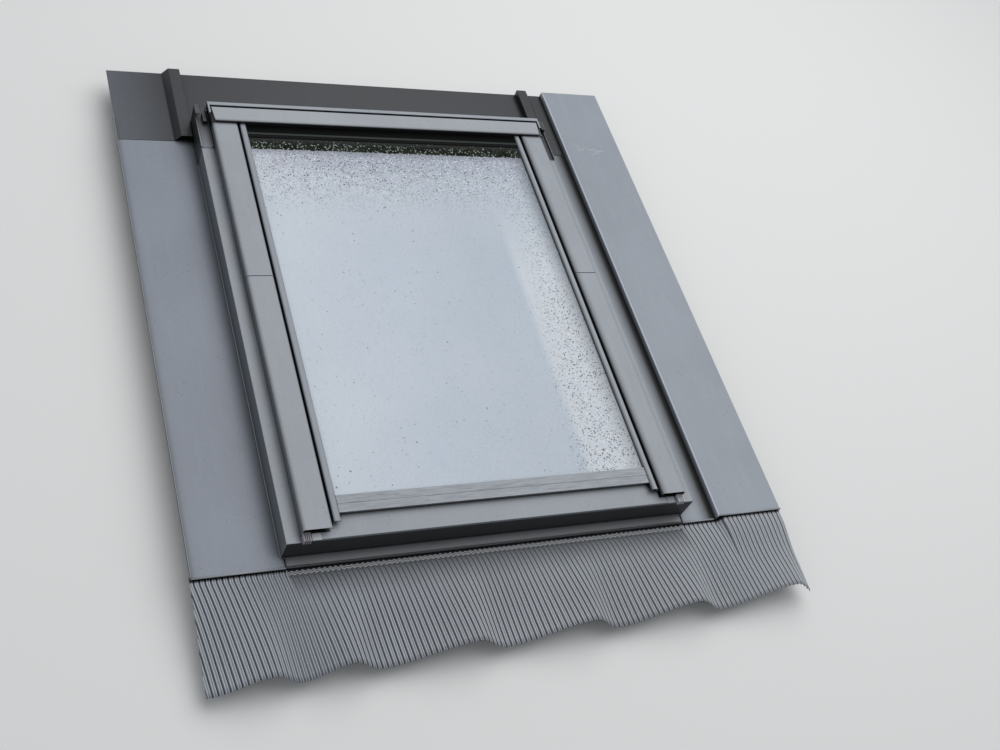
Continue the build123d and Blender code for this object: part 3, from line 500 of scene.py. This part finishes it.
def pane_glass(name):
    """Coated pane under a film of rain: a painted reflection of the sky, part see-through, with painted
    dark reflection along its right edge and just below its top.
    """
    m = Maker(name)
    x, y, _ = m.split()
    base = rained_on(m, painted_sky_reflection(m, x, y), x, y)
    # Painted dark reflection along the right edge and just below the top
    right_edge = m.math("POWER", m.between(x, 0.255, 0.300), 1.4)
    right_edge = m.product(right_edge, m.math("MULTIPLY_ADD", m.between(y, -0.38, 0.3), 0.36, 0.62))
    base = m.mix(right_edge, base, rgb(104, 112, 124))
    base = m.mix(m.product(m.between(y, 0.352, 0.368), 0.5), base, rgb(96, 102, 112))
    m.set("Base Color", base)
    m.set("Roughness", 0.05)
    m.set("Transmission Weight", 0.3)
    m.set("IOR", 1.45)
    return m.mat


def raindrop(name):
    """Water drop, painted darker than the sky that it bends, with a painted highlight on its lower side.
    """
    m = Maker(name)
    grey = m.mix(m.between(m.noise(900.0, 1.0), 0.4, 0.6), rgb(72, 80, 92), rgb(120, 130, 142))
    m.set("Base Color", m.mix(m.attribute("lit"), grey, rgb(232, 238, 244)))
    m.set("Roughness", 0.03)
    m.set("Transmission Weight", 0.3)
    m.set("IOR", 1.33)
    return m.mat


def clear_glass(name):
    m = Maker(name)
    m.set("Base Color", rgb(225, 235, 235))
    m.set("Roughness", 0.02)
    m.set("Transmission Weight", 1.0)
    m.set("IOR", 1.45)
    return m.mat


# Materials by slot, and by the names of nodes and pieces that look different from their slot

# TOP is the lacquer's own colour; the side colours are painted shade for upright faces
TOP = rgb(153, 158, 165)
SHADED_SIDE = rgb(101, 106, 111)
FLASHING_SHADED_SIDE = rgb(78, 82, 88)
RAIL_PINE = pine("lacquered_pine_rail", 0.7, 9.0)
MATERIALS = {
    "cladding": lacquer("grey_lacquer", TOP, SHADED_SIDE),
    # Front skirt: painted shade nearly black on its upright face
    "sill_cladding": lacquer("sill_lacquer", TOP, rgb(34, 36, 38)),
    # Head corners: painted shade over the left one, deeper towards its upper end, and over the whole
    # right one
    "head_corner_left": lacquer("left_corner_lacquer", rgb(130, 135, 142), rgb(62, 65, 70),
                                dark=high_corner, edge_highlight_and_wear=0.9),
    "head_corner_right": lacquer("right_corner_lacquer", rgb(50, 53, 58), rgb(36, 38, 42), edge_highlight_and_wear=0.9),
    "upper_cover_left": lacquer("left_cover_lacquer", TOP, SHADED_SIDE, dark=under_hood),
    "upper_cover_right": lacquer("right_cover_lacquer", TOP, SHADED_SIDE, dark=inner_round),
    "lower_cover_right": lacquer("low_right_cover_lacquer", TOP, SHADED_SIDE, dark=inner_round),
    "glazing_bead_right": lacquer("right_bead_lacquer", TOP, SHADED_SIDE, dark=inner_slope),
    "glazing_bead_left": lacquer("left_bead_lacquer", rgb(145, 150, 158), SHADED_SIDE),
    "hood": lacquer("hood_lacquer", rgb(159, 163, 169), SHADED_SIDE, dark=hood_foot),
    "bottom_glazing_strip": lacquer("bottom_strip_lacquer", rgb(149, 154, 161), SHADED_SIDE, scratches=0.45),
    "top_glazing_strip": sheltered_strip("sheltered_strip"),
    "sash_sill_cover": lacquer("sill_cover_lacquer", TOP, SHADED_SIDE, 0.022, dark=under_cover),
    "bright_trim": lacquer("bright_trim", rgb(186, 190, 194), rgb(38, 41, 41), 0.006, dark=under_cover),
    "cover_tab_right": lacquer("right_tab_lacquer", TOP, SHADED_SIDE, 0.006, dark=under_cover),
    "plug": plain("plug_plastic", rgb(150, 147, 154), 0.5, gap=0.0, dark=under_cover),
    "cover_plug_right": plain("pale_plug", rgb(188, 192, 196), 0.45, gap=0.0, dark=under_cover),
    "flashing": lacquer("flashing_lacquer", rgb(148, 155, 164), FLASHING_SHADED_SIDE, 0.05, dark=beside_riser,
                        light=riser_highlight_and_scuffs, edge_highlight_and_wear=0.1),
    "side_flashing_left": lacquer("left_flashing_lacquer", rgb(135, 141, 152), FLASHING_SHADED_SIDE, 0.045),
    # Head flashing: painted shade of the tiles over the whole sheet, deeper towards the frame's corners
    "head_flashing": lacquer("shaded_flashing_lacquer", rgb(86, 90, 97), rgb(50, 53, 58), 0.05,
                             dark=beside_head),
    "sill_flashing": lacquer("sill_flashing_lacquer", rgb(146, 148, 152), rgb(84, 85, 88), 0.035,
                             dark=along_front),
    "apron": pleated_lacquer("apron_lacquer"),
    "rolled_edge": plain("rolled_edge", rgb(160, 164, 169), 0.35, gap=0.0),
    "timber": pine("lacquered_pine"),
    "frame_head": RAIL_PINE,
    "frame_sill": RAIL_PINE,
    "sash_top_rail": RAIL_PINE,
    "sash_bottom_rail": RAIL_PINE,
    "rubber": plain("rubber", rgb(26, 26, 28), 0.6),
    "spacer": plain("spacer_strip", rgb(96, 98, 100), 0.45, 0.8),
    "steel": plain("zinc_steel", rgb(176, 178, 180), 0.38, 0.9),
    "case": plain("white_case", rgb(224, 224, 220), 0.4),
    "handle": plain("satin_aluminium", rgb(196, 197, 199), 0.3, 0.9),
    "outer_pane": pane_glass("outer_pane_glass"),
    "inner_pane": clear_glass("inner_pane_glass"),
    "raindrops": raindrop("raindrop"),
    "painted_hood_reflection": painted_hood_reflection("hood_reflection_on_glass"),
}


def dress_nodes():
    slots = {part["node"]: part["material_slot"] for part in frame["record"]["subparts"]}
    for name, obj in frame["nodes"].items():
        obj.data.materials.clear()
        obj.data.materials.append(MATERIALS.get(name) or MATERIALS[slots[name]])


# Pieces, built in millimetres and stored in metres

def add_piece(name, points, faces, material, body):
    data = bpy.data.meshes.new(name)
    data.from_pydata([(x / 1000, y / 1000, z / 1000) for x, y, z in points], [], faces)
    data.materials.append(MATERIALS[material])
    data.polygons.foreach_set("use_smooth", [True] * len(data.polygons))
    obj = bpy.data.objects.new(name, data)
    SCENE.collection.objects.link(obj)
    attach(obj, body)
    return obj


def add_values(obj, **named):
    """Give each point of a piece one value under each name, for its material."""
    for name, values in named.items():
        obj.data.attributes.new(name, "FLOAT", "POINT").data.foreach_set("value", values)


# Pleated apron, on its solid's waves, with rounded pleats that lean to the right and a finer crimp

X_EDGE, LEFT_EDGE, RIGHT_EDGE = 390.0, 538.0, 605.0
FLASHING_Y, FLASHING_LEVEL = -509.0, 51.0
REACH_LEFT, REACH_RIGHT, PULL_LEFT, PULL_RIGHT = 187.0, 167.0, 6.0, 14.0
LEAN_LEFT, LEAN_MIDDLE, LEAN_RIGHT, LEAN_END, LEAN_PLACE = 31.0, 25.0, 40.0, 11.2, 400.0
LEAN_BEND = 0.35
PLEAT_DEPTH, PITCH_MIDDLE, PITCH_LEFT, PITCH_RIGHT = 4.0, 9.4, 9.0, 10.6
WAVE_PITCH, WAVE_FALL, WAVE_CREST = 222.0, 52.0, 136.0
LAP_CREST, LAP_TROUGH = -437.0, -387.0
CREST_LEVEL, TROUGH_LEVEL = 56.0, 29.0
STEP_START, STEP_RUN, STEP_HEIGHT = 460.5, 14.0, 14.0
APRON_LEFT, APRON_RIGHT, APRON_LOW, APRON_SHEET = -539.2, 616.2, -695.6, 0.8
UNDER_FLASHING = 2.3
CRIMP_START, CRIMP_END, CRIMP_DROP, CRIMP_TOOTH, CRIMP_HEIGHT = 16.0, 9.2, 1.6, 1.9, 1.2
CRIMP_MARGIN, CRIMP_FLATTENING, TOOTH_FLATTENING, CRIMP_PALENESS = 6.0, 0.45, 0.65, 0.12
# How far below the crimp the painted shade under the flashing reaches
SHELTER_RUN = 55.0
ROWS_BELOW_CRIMP = 15

# How many times sooner than at the apron's low edge the flattening, the drop and the step are over
FLATTENING_FADE, DROP_FADE, STEP_FADE = 1.7, 8.0, 2.0

# Painted shadow below the flashing's front edge: where it ends and how softly, at the crimp and beside it
GAP_AT_CRIMP, GAP_BESIDE = (1.6, 1.5), (5.0, 2.5)

# From pleat to pleat: least and most height, share of the wander kept, its step, and range of the tooth
PLEAT_TALL, WANDER_KEPT, WANDER_STEP, TOOTH_ROUGH = (0.88, 1.0), 0.8, 0.18, (0.6, 1.3)

# One pleat, as shares of its width and heights from -1 to 1: a deep groove and two ridges
PLEAT = ((0.0, -1.0), (0.05, -0.75), (0.13, 0.2), (0.22, 0.9), (0.31, 1.0), (0.41, 0.45), (0.49, 0.05),
         (0.57, 0.4), (0.67, 0.85), (0.78, 0.75), (0.88, 0.0), (0.95, -0.75))

# Heights at the same shares where the pleats are finer: two like ridges and two shallow grooves.
# They are finest at one place, by a share, and less so with the distance from it.
FINE_PLEAT = (-0.4, -0.25, 0.25, 0.7, 0.85, 0.15, -0.35, 0.1, 0.75, 0.7, 0.15, -0.2)
FINE_PLACE, FINE_SPREAD, FINE_SHARE = -405.0, 52.0, 0.9

# Rows of the crimp: distance below the flashing's front edge, fold from -1 to 1 and share of the tooth
CRIMP_ROWS = ((-5.5, 0.0, 0.0), (-1.0, -0.6, 0.3), (1.8, -1.0, 0.8), (3.7, 1.0, 1.0), (5.5, -0.9, 1.0),
              (7.4, 1.0, 1.0), (9.6, -1.0, 1.0), (12.6, -0.2, 0.5), (CRIMP_START, 0.0, 0.0))


def ease(share):
    """Smooth rise from 0 to 1."""
    share = min(max(share, 0.0), 1.0)
    return share * share * (3 - 2 * share)


def pleat_pitch(x):
    if x < -X_EDGE:
        return PITCH_MIDDLE + (PITCH_LEFT - PITCH_MIDDLE) * (-X_EDGE - x) / (LEFT_EDGE - X_EDGE)
    return PITCH_MIDDLE + (PITCH_RIGHT - PITCH_MIDDLE) * min(max(x, 0) / RIGHT_EDGE, 1)


def fold_places():
    """Fold lines from beyond the left edge, where leaning pleats come in, to the right one."""
    start = -LEFT_EDGE - LEAN_LEFT
    places = [start]
    while places[-1] < RIGHT_EDGE:
        places.append(places[-1] + pleat_pitch(places[-1]) / 2)
    stretch = (RIGHT_EDGE - start) / (places[-1] - start)
    return [start + (x - start) * stretch for x in places]


def roof_wave(x):
    """The tiles' waves that the apron lies on, 0 in a trough and 1 on a crest."""
    if x < LAP_CREST:
        return ease((x + LEFT_EDGE) / (LAP_CREST + LEFT_EDGE))
    if x < LAP_TROUGH:
        return 1 - ease((x - LAP_CREST) / (LAP_TROUGH - LAP_CREST))
    crest = WAVE_CREST + WAVE_PITCH * math.floor((x - WAVE_CREST) / WAVE_PITCH)
    if x < crest + WAVE_FALL:
        return 1 - ease((x - crest) / WAVE_FALL)
    trough = max(crest + WAVE_FALL, LAP_TROUGH)
    return ease((x - trough) / (crest + WAVE_PITCH - trough))


def apron_lean(x):
    """How far a pleat that starts at x leans to the right on its way down."""
    if x < 0:
        return LEAN_MIDDLE + (LEAN_LEFT - LEAN_MIDDLE) * min(-x / LEFT_EDGE, 1)
    if x < LEAN_PLACE:
        return LEAN_MIDDLE + (LEAN_RIGHT - LEAN_MIDDLE) * x / LEAN_PLACE
    return LEAN_RIGHT + (LEAN_END - LEAN_RIGHT) * (x - LEAN_PLACE) / (RIGHT_EDGE - LEAN_PLACE)


def lean_share(share):
    """Share of the lean that is taken up by a share of the length: the pleats lean most near the top."""
    share = min(max(share, 0.0), 1.0)
    return share * (1 + LEAN_BEND - LEAN_BEND * share)


def apron_reach(x):
    """How far the apron reaches below the flashing's front edge: less on a crest than in a trough."""
    along = (x + LEFT_EDGE) / (RIGHT_EDGE + LEFT_EDGE)
    reach = REACH_LEFT + (REACH_RIGHT - REACH_LEFT) * along
    return reach - (PULL_LEFT + (PULL_RIGHT - PULL_LEFT) * along) * roof_wave(x)


def zigzag(share):
    """Triangular wave from -1 to 1 over one pleat, the crimp's tooth."""
    return 1 - 4 * abs((share + 0.8) % 1.0 - 0.5)


def apron_columns():
    """Places across the apron: x, height from -1 to 1, the pleat's own wander and the crimp's tooth."""
    dice = random.Random(11)
    folds = fold_places()
    columns = []
    wander = 0.0
    for low in range(0, len(folds) - 1, 2):
        x0 = folds[low]
        x1 = folds[min(low + 2, len(folds) - 1)]
        tall = dice.uniform(*PLEAT_TALL)
        wander = WANDER_KEPT * wander + dice.uniform(-WANDER_STEP, WANDER_STEP)
        rough = dice.uniform(*TOOTH_ROUGH)
        fine = FINE_SHARE * math.exp(-((x0 - FINE_PLACE) / FINE_SPREAD) ** 2)
        for (share, height), fine_height in zip(PLEAT, FINE_PLEAT):
            height += (fine_height - height) * fine
            columns.append((x0 + (x1 - x0) * share, height * tall, wander, rough * zigzag(share)))
    columns.append((folds[-1], -1.0, 0.0, 0.0))
    return columns


def apron_rows():
    """Rows down the apron: start below the flashing's edge, crimp, tooth and share of the rest."""
    rows = [(*crimp, 0.0) for crimp in CRIMP_ROWS]
    return rows + [(CRIMP_START, 0.0, 0.0, (i + 1) / ROWS_BELOW_CRIMP) for i in range(ROWS_BELOW_CRIMP)]


def apron_level(x, leant, share):
    """Height of the pleats' middle: under the flashing at the top, on the tiles' waves further down."""
    under = FLASHING_LEVEL - UNDER_FLASHING - PLEAT_DEPTH / 2
    under += STEP_HEIGHT * ease((x - STEP_START) / STEP_RUN) * (1 - ease(share * STEP_FADE))
    low = TROUGH_LEVEL + (CREST_LEVEL - TROUGH_LEVEL) * roof_wave(leant)
    return under * (1 - ease(share)) + low * ease(share)


def apron_point(row, column):
    """One point of the apron, and its shares of ridge, crimp, shelter and gap, which the lacquer turns
    into painted highlight and shade.
    """
    start, crimp, tooth, part = row
    x, height, wander, wave = column
    down = start + (apron_reach(x + apron_lean(x)) - start) * part
    share = (down - CRIMP_END) / (REACH_LEFT - CRIMP_END)
    leant = x + apron_lean(x) * lean_share(share)
    crimped = ease((X_EDGE - CRIMP_MARGIN - abs(x)) / CRIMP_MARGIN)
    fold = crimp * crimped
    flat = CRIMP_FLATTENING * crimped * (1 - ease(share * FLATTENING_FADE))
    y = FLASHING_Y - down - CRIMP_TOOTH * wave * tooth * crimped
    z = apron_level(x, leant, share)
    z += PLEAT_DEPTH / 2 * height * (1 - TOOTH_FLATTENING * tooth * crimped) * (1 - flat)
    z += CRIMP_HEIGHT * fold - CRIMP_DROP * crimped * ease(1 - share * DROP_FADE)
    place = min(leant + wander * math.sin(math.pi * part), APRON_RIGHT)
    # Shares for the lacquer's painted highlight and shade: the pleat's height, paler on the crimp, and
    # shade under the flashing
    ridge = 0.5 + 0.5 * height * (1 - flat) + CRIMP_PALENESS * flat
    sheltered = crimped * ease(1 - (down - CRIMP_END) / SHELTER_RUN)
    gap_end, softness = GAP_AT_CRIMP if crimped else GAP_BESIDE
    return (place, max(y, APRON_LOW), z), (ridge, fold, sheltered, ease((gap_end - down) / softness))


def cut_left(data, x):
    """Cut away what lies left of x, given in millimetres."""
    mesh = bmesh.new()
    mesh.from_mesh(data)
    geometry = mesh.verts[:] + mesh.edges[:] + mesh.faces[:]
    bmesh.ops.bisect_plane(mesh, geom=geometry, plane_co=(x / 1000, 0, 0), plane_no=(-1, 0, 0),
                           clear_outer=True)
    mesh.to_mesh(data)
    mesh.free()


def add_apron():
    columns, rows = apron_columns(), apron_rows()
    made = [apron_point(row, column) for row in rows for column in columns]
    points = [point for point, _ in made]
    ridge, crimp, sheltered, gap = zip(*(shares for _, shares in made))
    across = len(columns)
    faces = [(r * across + c, (r + 1) * across + c, (r + 1) * across + c + 1, r * across + c + 1)
             for r in range(len(rows) - 1) for c in range(across - 1)]
    obj = add_piece("apron_pleats", points, faces, "apron", "frame")
    add_values(obj, ridge=ridge, crimp=crimp, sheltered=sheltered, gap=gap)
    cut_left(obj.data, APRON_LEFT)
    thick = obj.modifiers.new("sheet", "SOLIDIFY")
    thick.thickness = APRON_SHEET / 1000
    thick.offset = -1.0
    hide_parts("pleated_apron")


# Rain on the outer pane

GLASS_LEVEL = 117.0
GLASS_X, GLASS_LOW, GLASS_HIGH = 297.0, -418.0, 398.0
DROP_TRIES, DROP_SIDES = 9000, 8

# Radius of a drop: the least, the most and how fast larger ones get rare
DROP_LEAST, DROP_MOST, DROP_RATE = 0.65, 2.0, 3.4

# Shares of the radius: height, length along the slope and unevenness
DROP_HEIGHT, DROP_LENGTH, DROP_WOBBLE = (0.38, 0.5), (1.0, 1.25), (0.9, 1.1)

# Rings of a drop, from its top down: shares of its radius and of its height
DROP_RINGS = ((0.62, 0.8), (1.0, -0.05))


def drop_chance(x, y):
    """Share of drops kept at a place: thick near the top and along the right side."""
    top = ease((y - 160.0) / 150.0)
    side = ease((x - 0.095 * y - 185.0) / 60.0) * (0.6 + 0.4 * ease((50.0 - y) / 150.0))
    return 0.07 + 0.75 * max(top, side)


def add_drop(points, faces, lit, x, y, dice):
    """One low drop: a top point and two uneven rings, with the share of painted highlight at each point.
    """
    radius = min(DROP_LEAST + dice.expovariate(DROP_RATE), DROP_MOST)
    height = radius * dice.uniform(*DROP_HEIGHT)
    turn = dice.uniform(0, 6.28)
    long = dice.uniform(*DROP_LENGTH)
    first = len(points)
    points.append((x, y, GLASS_LEVEL + height))
    lit.append(0.1)
    for out, up in DROP_RINGS:
        for i in range(DROP_SIDES):
            angle = turn + 2 * math.pi * i / DROP_SIDES
            reach = radius * out * dice.uniform(*DROP_WOBBLE)
            points.append((x + reach * math.cos(angle), y + long * reach * math.sin(angle),
                           GLASS_LEVEL + height * up))
            lit.append(ease(0.2 - 1.4 * out * math.sin(angle + 0.5)))
    for i in range(DROP_SIDES):
        inner, next_inner = first + 1 + i, first + 1 + (i + 1) % DROP_SIDES
        faces.append((first, inner, next_inner))
        faces.append((inner, inner + DROP_SIDES, next_inner + DROP_SIDES, next_inner))


def add_raindrops():
    dice = random.Random(5)
    points, faces, lit = [], [], []
    for _ in range(DROP_TRIES):
        x, y = dice.uniform(-GLASS_X, GLASS_X), dice.uniform(GLASS_LOW, GLASS_HIGH)
        if dice.random() <= drop_chance(x, y):
            add_drop(points, faces, lit, x, y, dice)
    obj = add_piece("raindrops", points, faces, "raindrops", "sash")
    add_values(obj, lit=lit)


# Thin trim

# Thin film on the glass that carries the painted reflection of the hood
REFLECTION_LOW, REFLECTION_HIGH, REFLECTION_RAGGED = 368.8, 398.8, 1.5
REFLECTION_STEPS, REFLECTION_SLOPE, REFLECTION_THICKNESS = 180, 0.4, 0.25

# Round section of a rolled front edge: y, and height above the flashing
HEM_SECTION = ((-509.0, -1.0), (-509.0, 0.5), (-508.4, 1.3), (-507.2, 1.6), (-506.2, 1.0), (-506.0, 0.0))

# Front edges of the flashings: name, and the x and z of both ends
HEMS = (("flashing_hem_left", (-538.0, 51.2), (-384.8, 51.2)),
        ("flashing_hem_gutter", (384.8, 51.2), (455.0, 51.2)),
        ("flashing_hem_right", (460.5, 65.2), (605.0, 65.2)))

# Strips on both sides: name, distances from the middle, y from the top down, range of z, crown,
# material, body and slot
STRIPS = (("bead_rubber_", (311.05, 319.0), (433.0, -466.0), (112.0, 113.4), 0.5,
           "rubber", "sash", "rubber"),
          ("skirt_foot_", (389.2, 390.9), (382.0, -489.0), (52.4, 54.2), 0.4,
           "rolled_edge", "frame", "cladding"),
          ("corner_seal_", (383.4, 384.9), (-491.0, -509.0), (51.6, 52.5), 0.2,
           "rubber", "frame", "rubber"))


def prism(points, count):
    """Faces of a closed prism whose points are sections of count points each, one after another."""
    faces = [tuple(range(count)), tuple(reversed(range(len(points) - count, len(points))))]
    for first in range(0, len(points) - count, count):
        for i in range(count):
            j = (i + 1) % count
            faces.append((first + i, first + count + i, first + count + j, first + j))
    return faces


def add_hem(name, *ends):
    """Rolled front edge of a flashing, from one end to the other."""
    points = [(x, y, z + rise) for x, z in ends for y, rise in HEM_SECTION]
    add_piece(name, points, prism(points, len(HEM_SECTION)), "rolled_edge", "frame")


def add_strip(name, side, across, along, heights, crown, material, body, slot):
    """Strip along y with a rounded top, on the right with side 1 or the left with side -1."""
    x0, x1 = side * across[0], side * across[1]
    z0, z1 = heights
    section = ((x0, z0), (x0, z1 - crown), ((3 * x0 + x1) / 4, z1), ((x0 + 3 * x1) / 4, z1),
               (x1, z1 - crown), (x1, z0))
    points = [(x, y, z) for y in along for x, z in section]
    add_piece(name, points, prism(points, len(section)), material, body)


def add_hood_reflection():
    """Thin film on the glass below the top strip, carrying the painted reflection of the hood, with a
    ragged lower edge.
    """
    dice = random.Random(3)
    points, faces = [], []
    top = GLASS_LEVEL + REFLECTION_THICKNESS
    for i in range(REFLECTION_STEPS + 1):
        x = -GLASS_X + 2 * GLASS_X * i / REFLECTION_STEPS
        low = REFLECTION_LOW + dice.uniform(-REFLECTION_RAGGED, REFLECTION_RAGGED)
        points += [(x, low, GLASS_LEVEL), (x, low + REFLECTION_SLOPE, top), (x, REFLECTION_HIGH, top)]
    for a in range(0, 3 * REFLECTION_STEPS, 3):
        b = a + 3
        faces += [(a, b, b + 1, a + 1), (a + 1, b + 1, b + 2, a + 2)]
    add_piece("hood_reflection_on_glass", points, faces, "painted_hood_reflection", "sash")


def add_trim():
    """Rolled front edges of the flashings, then rubber, skirt feet and corner seals on both sides."""
    for name, *ends in HEMS:
        add_hem(name, *ends)
    for side, word in ((1, "right"), (-1, "left")):
        for name, *rest in STRIPS:
            add_strip(name + word, side, *rest)


# Stage, lights and world

FLOOR_EDGE = 9.0
HOLE_X, HOLE_Y, HOLE_DEPTH = 0.36, 0.455, 0.42


def add_stage():
    """Pale floor with an opening under the frame, so that the sash can swing in."""
    mesh = bmesh.new()
    corners = ((-1, -1), (1, -1), (1, 1), (-1, 1))
    outer = [mesh.verts.new((FLOOR_EDGE * x, FLOOR_EDGE * y, 0)) for x, y in corners]
    inner = [mesh.verts.new((HOLE_X * x, HOLE_Y * y, 0)) for x, y in corners]
    low = [mesh.verts.new((HOLE_X * x, HOLE_Y * y, -HOLE_DEPTH)) for x, y in corners]
    for i in range(4):
        j = (i + 1) % 4
        mesh.faces.new((outer[i], outer[j], inner[j], inner[i]))
        mesh.faces.new((inner[i], inner[j], low[j], low[i]))
    mesh.faces.new(low)
    data = bpy.data.meshes.new("floor")
    mesh.to_mesh(data)
    mesh.free()
    obj = bpy.data.objects.new("floor", data)
    SCENE.collection.objects.link(obj)
    m = Maker("pale_floor")
    m.set("Base Color", (0.8, 0.8, 0.79, 1.0))
    m.set("Roughness", 0.9)
    data.materials.append(m.mat)


def add_light(name, place, size, power):
    """Square lamp aimed at the middle of the frame."""
    data = bpy.data.lights.new(name, "AREA")
    data.size = size
    data.energy = power
    obj = bpy.data.objects.new(name, data)
    obj.location = place
    obj.rotation_euler = (-Vector(place)).to_track_quat("-Z", "Y").to_euler()
    SCENE.collection.objects.link(obj)


def add_world():
    world = bpy.data.worlds.new("studio")
    world.use_nodes = True
    background = world.node_tree.nodes["Background"]
    background.inputs["Color"].default_value = (0.9, 0.95, 1.0, 1.0)
    background.inputs["Strength"].default_value = 0.32
    SCENE.world = world


add_camera()
dress_nodes()
add_apron()
add_raindrops()
add_hood_reflection()
add_trim()
add_stage()
add_world()
add_light("sky", place=(1.0, 0.9, 3.2), size=4.5, power=108.0)
add_light("fill", place=(-2.6, -1.4, 2.2), size=2.5, power=10.0)
SCENE.view_settings.view_transform = "Standard"
